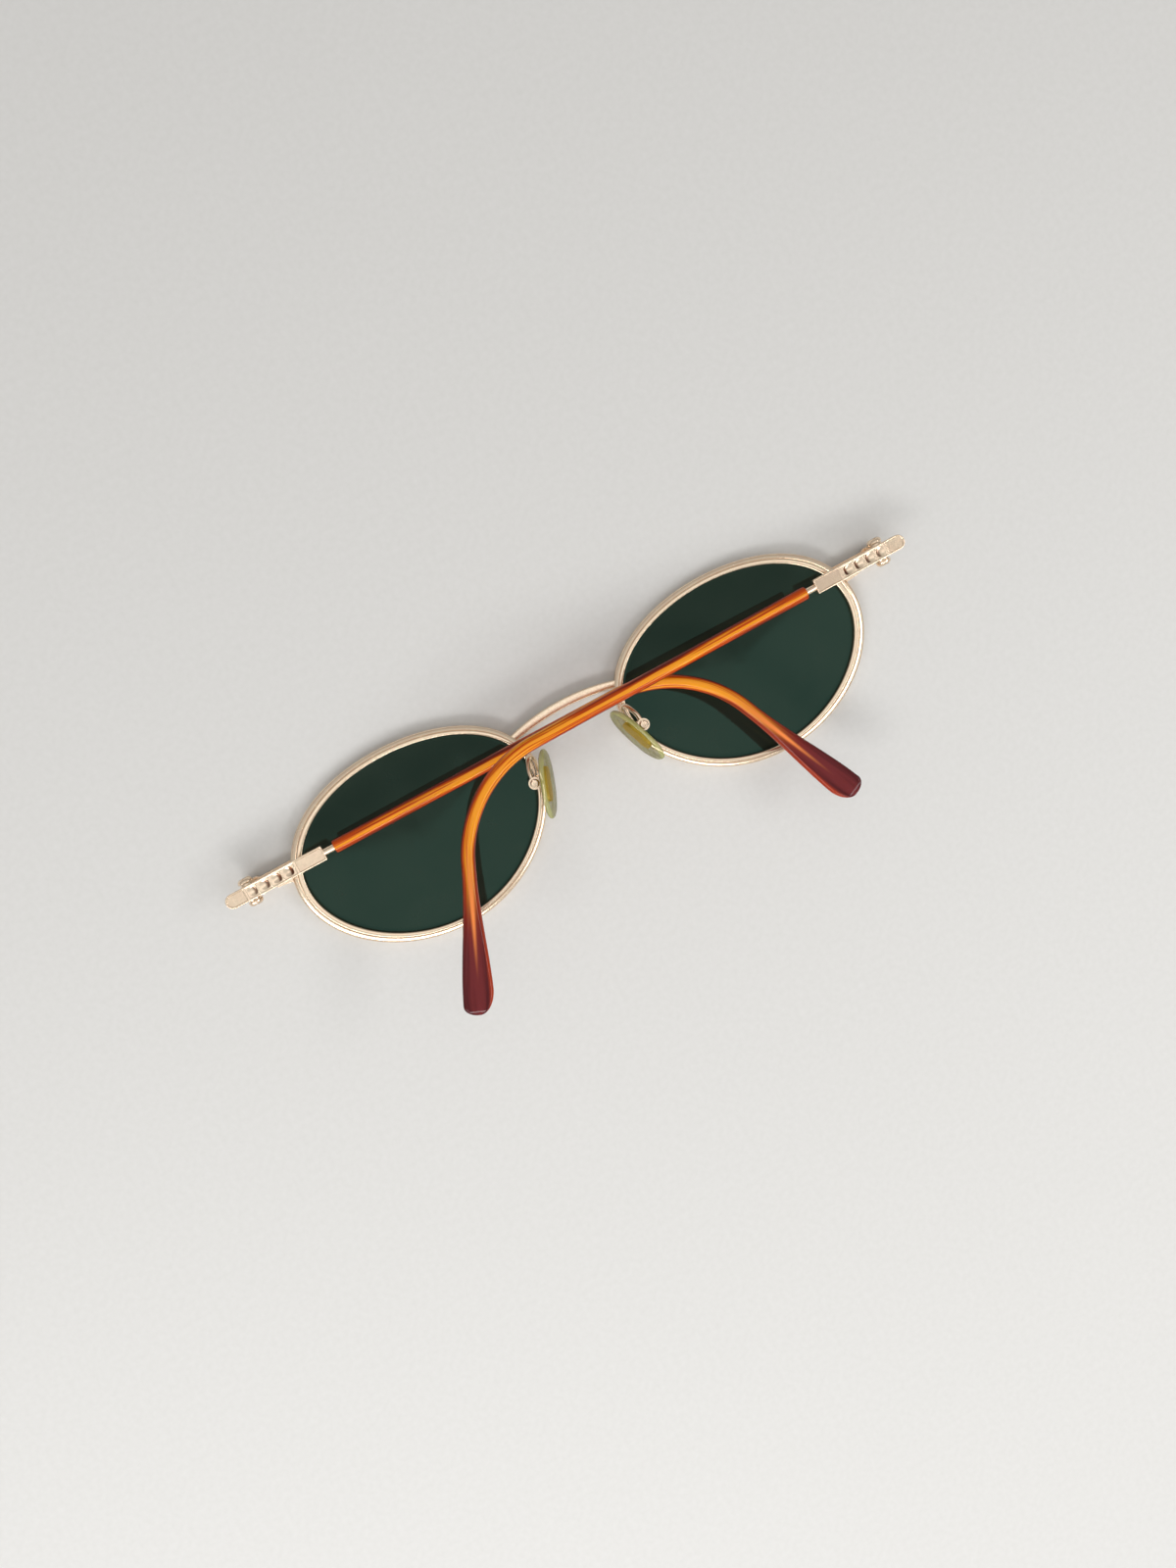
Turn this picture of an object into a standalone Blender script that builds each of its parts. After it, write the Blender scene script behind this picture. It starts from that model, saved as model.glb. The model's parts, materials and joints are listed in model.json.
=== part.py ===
"""Oval wire-rim sunglasses, folded and lying on their front, built from separate pieces.

X runs across the glasses, Y from the cheeks to the brow, and Z from the front to the wearer.
Each right-hand piece is modelled once and its left-hand twin is its mirror image.
"""
import math

import bmesh
import bpy
from mathutils import Matrix, Vector

MM = 0.001

# Fits
SEAT_GAP = 0.10 * MM
PIVOT_PLAY = 0.05 * MM
SIDE_PLAY = 0.10 * MM

# Lens openings, rims and lenses
LENS_SPACING = 70.6 * MM
OPENING_WIDTH = 48.1 * MM
OPENING_HEIGHT = 34.7 * MM
BROW_FULLNESS = 0.08
NOSE_FULLNESS = 0.05
RIM_WIDTH = 1.7 * MM
RIM_DEPTH = 2.6 * MM
RIM_CHAMFER = 0.4 * MM
RIM_SPLIT = 0.3 * MM
GROOVE_DEPTH = 0.6 * MM
LENS_THICKNESS = 1.0 * MM
LENS_EDGE = 0.3 * MM
LENS_DOME = 0.45 * MM
LENS_PLAY = 0.12 * MM
LENS_RINGS = (0.08, 0.45, 0.75)

# Bridge
BRIDGE_WIDTH = 1.8 * MM
BRIDGE_THICKNESS = 1.6 * MM
BRIDGE_HEIGHT = 8.0 * MM
BRIDGE_RISE = 1.9 * MM

# End pieces and the screws that close the rims
TEMPLE_LINE = 6.85 * MM
END_PIECE_REACH = 7.25 * MM
END_PIECE_WIDTH = 3.8 * MM
END_PIECE_THICKNESS = 1.5 * MM
END_PIECE_RAISE = 0.35 * MM
END_PIECE_CORNER = 0.5 * MM
LUG_ABOVE = 1.5 * MM
LUG_BELOW = 0.9 * MM
CLOSING_BLOCK_WIDTH = 1.25 * MM
CLOSING_BLOCK_REACH = 3.3 * MM
CLOSING_BLOCK_TAPER = 0.45 * MM
CLOSING_SCREW_SHARE = 0.45
CLOSING_SCREW_DIAMETER = 0.76 * MM
CLOSING_HEAD_DIAMETER = 1.0 * MM
CLOSING_HEAD_HEIGHT = 0.45 * MM
CLOSING_SCREW_BITE = 1.7 * MM

# Hinges
HINGE_HEIGHT = 4.6 * MM
KNUCKLE_RADIUS = 1.25 * MM
KNUCKLE_WIDTH = 1.3 * MM
EAR_THICKNESS = 1.0 * MM
FORK_BASE = 0.5 * MM
HINGE_PIN_DIAMETER = 1.0 * MM
HINGE_HEAD_DIAMETER = 2.9 * MM
HINGE_HEAD_HEIGHT = 0.95 * MM
HINGE_NUT_GRIP = 0.5 * MM
HEAD_SHAPE = ((0.62, 0.0), (0.9, 0.3), (1.0, 0.65))
WEB_SHARE = 0.8
SLOT_WIDTH = 0.3 * MM
SLOT_DEPTH = 0.25 * MM
STOP_GAP = 0.3 * MM

# Temples
PLATE_LENGTH = 20.6 * MM
PLATE_OVERHANG = 4.45 * MM
PLATE_WIDTH = 2.86 * MM
PLATE_THICKNESS = 1.3 * MM
PLATE_LIFT = 1.7 * MM
PLATE_CHAMFER = 0.3 * MM
CORE_DIAMETER = 1.3 * MM
CORE_SOCKET = 2.5 * MM
CORE_SHOWING = 2.1 * MM
CORE_LENGTH = 119.0 * MM
SLEEVE_PLAY = 0.10 * MM
SLEEVE_WIDTH = 2.6 * MM
SLEEVE_THICKNESS = 2.4 * MM
BEND_START = 77.7 * MM
BEND_RADIUS = 22.8 * MM
BEND_ANGLE = math.radians(65.6)
EAR_LENGTH = 27.4 * MM
TIP_WIDTH = 5.7 * MM
TIP_THICKNESS = 2.1 * MM
TIP_FLARE = 24.0 * MM
TIP_BACK_ROUND = 1.8 * MM
TIP_FRONT_ROUND = 4.8 * MM
TIP_END = 0.03 * MM
RIGHT_FOLD = math.radians(7.0)
LEFT_FOLD = math.radians(2.0)

# Nose pads and their arms
PAD_LENGTH = 13.3 * MM
PAD_WIDTH = 7.0 * MM
PAD_THICKNESS = 2.0 * MM
PAD_TILT = math.radians(19.8)
PAD_SPLAY = math.radians(19.0)
PAD_STANDOFF = 2.8 * MM
PAD_RISE = 0.8 * MM
PAD_DROP = 0.4 * MM
PAD_SQUARENESS = 0.85
PAD_SIDES = 20
BOX_DIAMETER = 2.4 * MM
BOX_HEIGHT = 2.2 * MM
BOX_LATERAL = 0.5 * MM
BOX_Y = -0.6 * MM
BOX_Z = 6.3 * MM
EYE_DIAMETER = 1.8 * MM
EYE_THICKNESS = 0.6 * MM
PAD_SCREW_DIAMETER = 0.74 * MM
PAD_HEAD_DIAMETER = 1.8 * MM
PAD_HEAD_HEIGHT = 0.4 * MM
PAD_HEAD_FLAT = 0.7
INSERT_LENGTH = 6.8 * MM
INSERT_WIDTH = 2.6 * MM
INSERT_THICKNESS = 0.7 * MM
SHANK_DIAMETER = 0.56 * MM
ARM_DIAMETER = 0.94 * MM
ARM_FOOT_Y = 0.3 * MM
ARM_LOOP_Y = 4.3 * MM
ARM_SHAPE = (
    (0.0, 0.0, 0.0), (0.0, 0.02, 0.12), (-0.25, 0.22, 0.24), (-0.45, 0.55, 0.36),
    (-0.38, 0.85, 0.48), (-0.05, 1.0, 0.62), (0.33, 0.9, 0.76), (0.6, 0.65, 0.88),
)

# Smoothness of the round pieces
RIM_STEPS = 60
LENS_STEPS = 48
TURN_STEPS = 20
WIRE_STEPS = 2
SLEEVE_SIDES = 12
BEND_STEPS = 11
EAR_STEPS = 12
WELD = 0.001 * MM
SHARP_EDGE = math.radians(35)

# Places that follow from the sizes above
LENS_X = LENS_SPACING / 2
LENS_MID = RIM_DEPTH / 2
NASAL_X = LENS_X - OPENING_WIDTH / 2
HINGE_X = LENS_X + OPENING_WIDTH / 2 + RIM_WIDTH + END_PIECE_REACH
END_PIECE_TOP = END_PIECE_RAISE + END_PIECE_THICKNESS
END_PIECE_LOW = TEMPLE_LINE - LUG_BELOW
END_PIECE_END = HINGE_X + PLATE_LIFT - STOP_GAP
BLOCK_TOP = END_PIECE_LOW - RIM_SPLIT
BLOCK_LOW = BLOCK_TOP - CLOSING_BLOCK_WIDTH
CLOSING_HEAD_LOW = BLOCK_LOW + CLOSING_BLOCK_TAPER / 2
FORK_HALF = KNUCKLE_WIDTH / 2 + SIDE_PLAY + EAR_THICKNESS
PIN_BORE = HINGE_PIN_DIAMETER / 2 + PIVOT_PLAY
CORE_LIFT = PLATE_LIFT + PLATE_THICKNESS / 2
PLATE_REACH = PLATE_LENGTH - PLATE_OVERHANG
SLEEVE_START = PLATE_REACH + CORE_SHOWING
BEND_LENGTH = BEND_RADIUS * BEND_ANGLE
TEMPLE_LENGTH = BEND_START + BEND_LENGTH + EAR_LENGTH
BOX_CENTRE = Vector((NASAL_X + BOX_LATERAL, BOX_Y, BOX_Z))
BOX_RADIUS = BOX_DIAMETER / 2
PAD_LONG = Vector((math.sin(PAD_TILT), -math.cos(PAD_TILT), 0.0))
PAD_OUTWARD = Vector((math.cos(PAD_TILT), math.sin(PAD_TILT), 0.0))
PAD_FACE = Vector((0, 0, math.sin(PAD_SPLAY))) - PAD_OUTWARD * math.cos(PAD_SPLAY)
PAD_ACROSS = Vector((0, 0, math.cos(PAD_SPLAY))) + PAD_OUTWARD * math.sin(PAD_SPLAY)
PAD_CENTRE = PAD_FACE * PAD_STANDOFF + PAD_ACROSS * PAD_RISE + PAD_LONG * PAD_DROP

# Finishes: colour, roughness, metallic
GOLD = ("gold_plate", (0.83, 0.62, 0.36), 0.18, 1.0)
LENS_TINT = ("green_lens", (0.02, 0.045, 0.035), 0.05, 0.0)
AMBER = ("amber_acetate", (0.55, 0.14, 0.02), 0.15, 0.0)
CLEAR_PAD = ("clear_pad", (0.55, 0.55, 0.30), 0.25, 0.0)

FLIP = Matrix.Diagonal((-1.0, 1.0, 1.0, 1.0))


def clear_scene():
    """Remove everything that a new file starts with."""
    for item in list(bpy.data.objects):
        bpy.data.objects.remove(item, do_unlink=True)


def new_collection(name):
    """Return a new collection linked to the scene."""
    group = bpy.data.collections.new(name)
    bpy.context.scene.collection.children.link(group)
    return group


clear_scene()
PARTS = new_collection("oval_sunglasses")
CUTTERS = new_collection("oval_sunglasses_cutters")


def new_object(name, data, group=PARTS):
    """Link a new object to a collection and return it."""
    item = bpy.data.objects.new(name, data)
    group.objects.link(item)
    return item


def new_axis(name, place, parent, turn=0.0):
    """Return an empty that stands on a joint's axis, turned about Y."""
    axis = new_object(name, None)
    axis.parent = parent
    axis.location = place
    axis.rotation_euler = (0.0, turn, 0.0)
    return axis


def give_finish(item, finish):
    """Give a piece its own material."""
    label, colour, roughness, metallic = finish
    material = bpy.data.materials.new(f"{item.name}_{label}")
    material.use_nodes = True
    shader = material.node_tree.nodes["Principled BSDF"]
    shader.inputs["Base Color"].default_value = (*colour, 1.0)
    shader.inputs["Roughness"].default_value = roughness
    shader.inputs["Metallic"].default_value = metallic
    item.data.materials.clear()
    item.data.materials.append(material)


def settle(item, face_out=True):
    """Return an object's shape, with its modifiers, as a plain welded mesh."""
    bpy.context.view_layer.update()
    graph = bpy.context.evaluated_depsgraph_get()
    mesh = bpy.data.meshes.new_from_object(item.evaluated_get(graph))
    work = bmesh.new()
    work.from_mesh(mesh)
    bmesh.ops.remove_doubles(work, verts=work.verts, dist=WELD)
    if face_out:
        bmesh.ops.recalc_face_normals(work, faces=work.faces)
    work.to_mesh(mesh)
    work.free()
    return mesh


def curve_to_mesh(curve, name):
    """Replace a curve object by a mesh object in the same place."""
    mesh = settle(curve)
    solid = new_object(name, mesh)
    solid.matrix_world = curve.matrix_world.copy()
    bpy.data.objects.remove(curve, do_unlink=True)
    bpy.context.view_layer.update()
    return solid


def new_curve(name, points, outline, kind="POLY"):
    """Return a curve object with one spline: a closed flat outline or an open path."""
    data = bpy.data.curves.new(name, "CURVE")
    data.dimensions = "2D" if outline else "3D"
    spline = data.splines.new(kind)
    spline.points.add(len(points) - 1)
    for target, point in zip(spline.points, points):
        target.co = (point[0], point[1], 0.0 if outline else point[2], 1.0)
    spline.use_cyclic_u = outline
    spline.use_endpoint_u = not outline
    return new_object(name, data)


def extrude_outline(name, points, thickness, place=(0, 0, 0), upright=False):
    """Return a solid of constant thickness, centred on place.

    An upright outline is drawn in X and Z and extruded along Y.
    """
    curve = new_curve(name + "_outline", points, True)
    curve.data.fill_mode = "BOTH"
    curve.data.extrude = thickness / 2
    curve.location = place
    if upright:
        curve.rotation_euler.x = math.pi / 2
    return curve_to_mesh(curve, name)


def sweep_wire(name, points, radius, kind="POLY"):
    """Return a solid round wire along the points."""
    curve = new_curve(name + "_path", points, False, kind)
    curve.data.resolution_u = WIRE_STEPS
    curve.data.bevel_depth = radius
    curve.data.bevel_resolution = WIRE_STEPS
    curve.data.use_fill_caps = True
    return curve_to_mesh(curve, name)


def turn_profile(name, profile, place, along_y=0):
    """Return a turned solid from (radius, height) points that run from top to bottom.

    Its axis is Z, or Y with its top towards +Y or -Y where along_y is 1 or -1.
    """
    mesh = bpy.data.meshes.new(name)
    rows = [(radius, 0.0, height) for radius, height in profile]
    mesh.from_pydata(rows, [(i, i + 1) for i in range(len(rows) - 1)], [])
    item = new_object(name, mesh)
    item.location = place
    item.rotation_euler.x = -along_y * math.pi / 2
    screw = item.modifiers.new("Turn", "SCREW")
    screw.steps = TURN_STEPS
    screw.render_steps = TURN_STEPS
    screw.merge_threshold = WELD
    screw.use_merge_vertices = True
    item.data = settle(item)
    item.modifiers.clear()
    return item


def loft(name, rings):
    """Return a solid skinned over rings of equally many points, with flat ends."""
    work = bmesh.new()
    rows = [[work.verts.new(point) for point in ring] for ring in rings]
    count = len(rows[0])
    for low, high in zip(rows, rows[1:]):
        for i in range(count):
            j = (i + 1) % count
            work.faces.new((low[i], low[j], high[j], high[i]))
    work.faces.new(rows[0])
    work.faces.new(rows[-1])
    bmesh.ops.recalc_face_normals(work, faces=work.faces)
    mesh = bpy.data.meshes.new(name)
    work.to_mesh(mesh)
    work.free()
    return new_object(name, mesh)


def block(name, size, place, basis=None):
    """Return a box of the given size, turned to a basis of three axes."""
    work = bmesh.new()
    bmesh.ops.create_cube(work, size=1.0, matrix=Matrix.Diagonal((*size, 1.0)))
    mesh = bpy.data.meshes.new(name)
    work.to_mesh(mesh)
    work.free()
    item = new_object(name, mesh)
    turn = Matrix(basis).transposed().to_4x4() if basis else Matrix.Identity(4)
    item.matrix_world = Matrix.Translation(place) @ turn
    return item


def combine(target, tool, operation="DIFFERENCE"):
    """Cut a piece with a tool, or join the tool to it, and remove the tool."""
    PARTS.objects.unlink(tool)
    CUTTERS.objects.link(tool)
    tool.hide_render = True
    tool.display_type = "WIRE"
    step = target.modifiers.new("Shape", "BOOLEAN")
    step.operation = operation
    step.solver = "EXACT"
    step.object = tool
    target.data = settle(target, face_out=False)
    target.modifiers.clear()
    bpy.data.objects.remove(tool, do_unlink=True)
    return target


def drill(target, radius, start, end):
    """Cut a round hole from start to end."""
    start, end = Vector(start), Vector(end)
    return combine(target, sweep_wire("drill", (start, end), radius))


def cut_slot(target, length, place, along):
    """Cut a screwdriver slot whose floor lies below place, across the head."""
    size = [2 * SLOT_DEPTH, 2 * SLOT_DEPTH, 2 * SLOT_DEPTH]
    size[along] = length
    size[0 if along != 0 else 1] = SLOT_WIDTH
    return combine(target, block("slot", size, place))


def opening_point(angle, offset):
    """Return a point of the right lens opening's outline, moved out by offset."""
    half_width, half_height = OPENING_WIDTH / 2, OPENING_HEIGHT / 2
    cosine, sine = math.cos(angle), math.sin(angle)
    full = BROW_FULLNESS + NOSE_FULLNESS * (1 - cosine) / 2
    widen = 1 + full * sine
    x = half_width * cosine * widen
    y = half_height * sine
    change = full * cosine + NOSE_FULLNESS * sine * sine / 2
    slope_x = half_width * (cosine * change - sine * widen)
    slope_y = half_height * cosine
    length = math.hypot(slope_x, slope_y)
    return Vector((LENS_X + x + offset * slope_y / length, y - offset * slope_x / length))


def temple_side_angle(height, offset):
    """Return the angle at which the outline's temple side reaches a height."""
    low, high = -math.pi / 2, math.pi / 2
    for _ in range(50):
        middle = (low + high) / 2
        if opening_point(middle, offset).y < height:
            low = middle
        else:
            high = middle
    return low


def rim_side(low, high, offset, count=6):
    """Return points along the rim's temple side between two heights."""
    first = temple_side_angle(low, offset)
    last = temple_side_angle(high, offset)
    return [opening_point(first + (last - first) * i / (count - 1), offset) for i in range(count)]


def arc(centre, radius, first, last, count):
    """Return points of a circular arc in the plane."""
    angles = [first + (last - first) * i / (count - 1) for i in range(count)]
    return [(centre[0] + radius * math.cos(a), centre[1] + radius * math.sin(a)) for a in angles]


def make_rim(name):
    """Eyewire: one profile swept round the opening, left open at the closing block."""
    mouth = LENS_THICKNESS / 2 + LENS_PLAY
    floor = LENS_EDGE / 2 + LENS_PLAY
    chamfer, width, depth = RIM_CHAMFER, RIM_WIDTH, RIM_DEPTH
    profile = [
        (chamfer, 0.0), (width - chamfer, 0.0), (width, chamfer), (width, depth - 1.5 * chamfer),
        (width - chamfer, depth), (chamfer, depth), (0.0, depth - chamfer), (0.0, LENS_MID + mouth),
        (GROOVE_DEPTH, LENS_MID + floor), (GROOVE_DEPTH, LENS_MID - floor),
        (0.0, LENS_MID - mouth), (0.0, chamfer),
    ]
    first = temple_side_angle(END_PIECE_LOW, RIM_WIDTH)
    last = temple_side_angle(BLOCK_TOP, RIM_WIDTH) + 2 * math.pi
    rings = []
    for i in range(RIM_STEPS + 1):
        angle = first + (last - first) * i / RIM_STEPS
        rings.append([(*opening_point(angle, offset), height) for offset, height in profile])
    return loft(name, rings)


def make_lens(name):
    """Dished lens: a bevelled edge in the rim's groove and two gently domed faces."""
    reach = GROOVE_DEPTH - LENS_PLAY
    centre = Vector((LENS_X, 0.0))
    bevel = 1 - (reach + LENS_PLAY) / (OPENING_HEIGHT / 2)
    shares = (*LENS_RINGS, bevel)
    front = [(share, LENS_MID - LENS_THICKNESS / 2) for share in shares]
    back = [(share, LENS_MID + LENS_THICKNESS / 2) for share in reversed(shares)]
    edge = [(1.0, LENS_MID - LENS_EDGE / 2), (1.0, LENS_MID + LENS_EDGE / 2)]
    rings = []
    for share, height in front + edge + back:
        dome = LENS_DOME * (1 - (share / bevel) ** 2) if share < bevel else 0.0
        ring = []
        for i in range(LENS_STEPS):
            rim = opening_point(2 * math.pi * i / LENS_STEPS, reach)
            ring.append((*(centre + (rim - centre) * share), height - dome))
        rings.append(ring)
    return loft(name, rings)


def make_bridge(name):
    """Flat bar arched over the nose, its ends trimmed to the rims."""
    reach = NASAL_X + RIM_WIDTH
    radius = (reach ** 2 + BRIDGE_RISE ** 2) / (2 * BRIDGE_RISE)
    half = math.asin(reach / radius)
    centre = (0.0, BRIDGE_HEIGHT + BRIDGE_RISE - radius)
    top, last = math.pi / 2 - half, math.pi / 2 + half
    points = arc(centre, radius + BRIDGE_WIDTH / 2, top, last, 13)
    points += arc(centre, radius - BRIDGE_WIDTH / 2, last, top, 13)
    bar = extrude_outline(name, points, BRIDGE_THICKNESS, (0, 0, LENS_MID))
    for side in (1, -1):
        outline = []
        for i in range(RIM_STEPS):
            point = opening_point(2 * math.pi * i / RIM_STEPS, RIM_WIDTH + SEAT_GAP)
            outline.append((side * point.x, point.y))
        combine(bar, extrude_outline("rim_trim", outline, 2 * RIM_DEPTH, (0, 0, LENS_MID)))
    return bar


def closing_screw_x():
    """Return how far out the closing screw's axis stands."""
    middle = rim_side(BLOCK_LOW, BLOCK_TOP, RIM_WIDTH + SEAT_GAP, 3)[1]
    return middle.x + CLOSING_SCREW_SHARE * CLOSING_BLOCK_REACH


def make_end_piece(name):
    """Lug from the rim to the hinge, wider below the hinge, tapped for the closing screw."""
    half, corner = END_PIECE_WIDTH / 2, END_PIECE_CORNER
    inner = rim_side(END_PIECE_LOW, TEMPLE_LINE + LUG_ABOVE, RIM_WIDTH + SEAT_GAP)
    hinge_root = HINGE_X - KNUCKLE_RADIUS - STOP_GAP
    end = END_PIECE_END
    below = [(hinge_root - 2 * corner, LUG_BELOW), (hinge_root, half), (end - corner, half)]
    above = [(end - corner, half), (hinge_root, half), (hinge_root - corner, LUG_ABOVE)]
    points = [tuple(point) for point in reversed(inner)]
    points += [(x, TEMPLE_LINE - y) for x, y in below]
    points += [(end, TEMPLE_LINE + corner - half), (end, TEMPLE_LINE + half - corner)]
    points += [(x, TEMPLE_LINE + y) for x, y in above]
    middle = END_PIECE_RAISE + END_PIECE_THICKNESS / 2
    lug = extrude_outline(name, points, END_PIECE_THICKNESS, (0, 0, middle))
    bore = CLOSING_SCREW_DIAMETER / 2 + PIVOT_PLAY
    x = closing_screw_x()
    deep = END_PIECE_LOW + CLOSING_SCREW_BITE + SEAT_GAP
    return drill(lug, bore, (x, BLOCK_TOP, middle), (x, deep, middle))


def make_closing_block(name):
    """Tapered lower half of the closing block, with a bore and a recess for the screw."""
    inner = rim_side(BLOCK_LOW, BLOCK_TOP, RIM_WIDTH + SEAT_GAP)
    outer = inner[0].x + CLOSING_BLOCK_REACH
    points = [tuple(point) for point in inner]
    points += [(outer, BLOCK_TOP), (outer, BLOCK_LOW + CLOSING_BLOCK_TAPER)]
    middle = END_PIECE_RAISE + END_PIECE_THICKNESS / 2
    lug = extrude_outline(name, points, END_PIECE_THICKNESS, (0, 0, middle))
    x, clear = closing_screw_x(), CLOSING_BLOCK_WIDTH
    start = (x, BLOCK_LOW - clear, middle)
    drill(lug, CLOSING_SCREW_DIAMETER / 2 + PIVOT_PLAY, start, (x, BLOCK_TOP + clear, middle))
    seat = CLOSING_HEAD_LOW + CLOSING_HEAD_HEIGHT + SEAT_GAP
    return drill(lug, CLOSING_HEAD_DIAMETER / 2 + PIVOT_PLAY, start, (x, seat, middle))


def make_closing_screw(name):
    """Screw that draws the two rim ends together, its head recessed in the closing block."""
    shank = CLOSING_SCREW_DIAMETER / 2
    head = CLOSING_HEAD_DIAMETER / 2
    seat = CLOSING_HEAD_LOW + CLOSING_HEAD_HEIGHT
    top = END_PIECE_LOW + CLOSING_SCREW_BITE - seat
    profile = [(0.0, top), (shank, top), (shank, 0.0), (head, 0.0)]
    profile += [(head, -CLOSING_HEAD_HEIGHT), (0.0, -CLOSING_HEAD_HEIGHT)]
    middle = END_PIECE_RAISE + END_PIECE_THICKNESS / 2
    return turn_profile(name, profile, (closing_screw_x(), seat, middle), along_y=1)


def make_hinge_fork(name):
    """Two hinge ears on a thin base that sits on the end piece."""
    base = END_PIECE_TOP + SEAT_GAP - HINGE_HEIGHT
    radius = KNUCKLE_RADIUS
    points = [(-radius, base), (radius, base)] + arc((0, 0), radius, 0.0, math.pi, 11)
    place = (HINGE_X, TEMPLE_LINE, HINGE_HEIGHT)
    fork = extrude_outline(name, points, 2 * FORK_HALF, place, upright=True)
    floor = base + FORK_BASE
    size = (4 * radius, KNUCKLE_WIDTH + 2 * SIDE_PLAY, 4 * radius)
    middle = Vector(place) + Vector((0, 0, floor + 2 * radius))
    combine(fork, block("fork_gap", size, middle))
    reach = Vector((0, 2 * FORK_HALF, 0))
    return drill(fork, PIN_BORE, Vector(place) - reach, Vector(place) + reach)


def hinge_button(grip):
    """Return the half profile of a rounded hinge head, from its crown to its seat."""
    radius, height = HINGE_HEAD_DIAMETER / 2, HINGE_HEAD_HEIGHT
    seat = FORK_HALF + SEAT_GAP
    crown = seat + height
    dome = [(share * radius, crown - drop * height) for share, drop in HEAD_SHAPE]
    return [(0.0, crown), *dome, (radius, seat), (grip, seat)]


def make_hinge_screw(name):
    """Hinge pin with a slotted round head on the brow side."""
    shank = HINGE_PIN_DIAMETER / 2
    end = -(FORK_HALF + SEAT_GAP + HINGE_NUT_GRIP)
    profile = hinge_button(shank) + [(shank, end), (0.0, end)]
    place = Vector((HINGE_X, TEMPLE_LINE, HINGE_HEIGHT))
    pin = turn_profile(name, profile, place, along_y=1)
    crown = profile[0][1]
    return cut_slot(pin, 2 * HINGE_HEAD_DIAMETER, place + Vector((0, crown, 0)), 2)


def make_hinge_nut(name):
    """Round cap nut on the other end of the hinge pin."""
    floor = FORK_HALF + SEAT_GAP + HINGE_NUT_GRIP + SEAT_GAP
    profile = hinge_button(PIN_BORE) + [(PIN_BORE, floor), (0.0, floor)]
    place = Vector((HINGE_X, TEMPLE_LINE, HINGE_HEIGHT))
    nut = turn_profile(name, profile, place, along_y=-1)
    crown = profile[0][1]
    return cut_slot(nut, 2 * HINGE_HEAD_DIAMETER, place - Vector((0, crown, 0)), 2)


def make_temple_plate(name):
    """Flat ornamental plate above the hinge, rounded at its outer end, with the core's socket."""
    half, chamfer = PLATE_WIDTH / 2, PLATE_CHAMFER
    points = arc((PLATE_OVERHANG - half, 0.0), half, -math.pi / 2, math.pi / 2, 11)
    points += [(chamfer - PLATE_REACH, half), (-PLATE_REACH, half - chamfer)]
    points += [(-PLATE_REACH, chamfer - half), (chamfer - PLATE_REACH, -half)]
    plate = extrude_outline(name, points, PLATE_THICKNESS, (0, 0, CORE_LIFT))
    bore = CORE_DIAMETER / 2 + SLEEVE_PLAY
    inner = CORE_SOCKET + SEAT_GAP - PLATE_REACH
    return drill(plate, bore, (-2 * PLATE_REACH, 0, CORE_LIFT), (inner, 0, CORE_LIFT))


def make_temple_knuckle(name):
    """Hinge knuckle with the web that carries the plate."""
    radius = KNUCKLE_RADIUS
    web = WEB_SHARE * radius
    start = math.pi - math.acos(web / radius)
    top = PLATE_LIFT - SEAT_GAP
    points = [(web, top), (-web, top)] + arc((0, 0), radius, start, 3 * math.pi - start, 15)
    knuckle = extrude_outline(name, points, KNUCKLE_WIDTH, upright=True)
    reach = Vector((0, KNUCKLE_WIDTH, 0))
    return drill(knuckle, PIN_BORE, -reach, reach)


def temple_path(length):
    """Return a point of the temple's centre line and the brow-side normal there."""
    bend = min(max(length - BEND_START, 0.0), BEND_LENGTH) / BEND_RADIUS
    past = max(length - BEND_START - BEND_LENGTH, 0.0)
    straight = min(length, BEND_START)
    along = Vector((-math.cos(bend), -math.sin(bend), 0.0))
    normal = Vector((-math.sin(bend), math.cos(bend), 0.0))
    x = -straight - BEND_RADIUS * math.sin(bend)
    y = -BEND_RADIUS * (1 - math.cos(bend))
    return Vector((x, y, CORE_LIFT)) + along * past, normal


def bend_lengths(first, last):
    """Return the lengths at which a wire along the temple needs a point."""
    inside = [BEND_START + BEND_LENGTH * i / BEND_STEPS for i in range(BEND_STEPS + 1)]
    return [first] + [length for length in inside if first < length < last] + [last]


def make_temple_core(name):
    """Metal core wire, from its socket in the plate into the flat tip."""
    stops = bend_lengths(PLATE_REACH - CORE_SOCKET, CORE_LENGTH)
    points = [temple_path(length)[0] for length in stops]
    return sweep_wire(name, points, CORE_DIAMETER / 2)


def sleeve_ring(length):
    """Return one oval ring of the sleeve, flared to the tip and rounded at its end."""
    left = TEMPLE_LENGTH - length
    share = min(max(1 - (left - TIP_BACK_ROUND) / TIP_FLARE, 0.0), 1.0)
    flare = share * share * (3 - 2 * share)
    half = (SLEEVE_WIDTH + (TIP_WIDTH - SLEEVE_WIDTH) * flare) / 2
    thick = (SLEEVE_THICKNESS + (TIP_THICKNESS - SLEEVE_THICKNESS) * flare) / 2

    def rounding(size):
        short = max(1 - left / size, 0.0)
        return math.sqrt(max(1 - short * short, 0.0))

    back, front = half * rounding(TIP_BACK_ROUND), half * rounding(TIP_FRONT_ROUND)
    thick *= rounding(TIP_THICKNESS / 2)
    middle, normal = temple_path(length)
    ring = []
    for i in range(SLEEVE_SIDES):
        angle = 2 * math.pi * i / SLEEVE_SIDES
        side = math.cos(angle)
        reach = back if side > 0 else front
        ring.append(middle + normal * (reach * side) + Vector((0, 0, thick * math.sin(angle))))
    return ring


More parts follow.
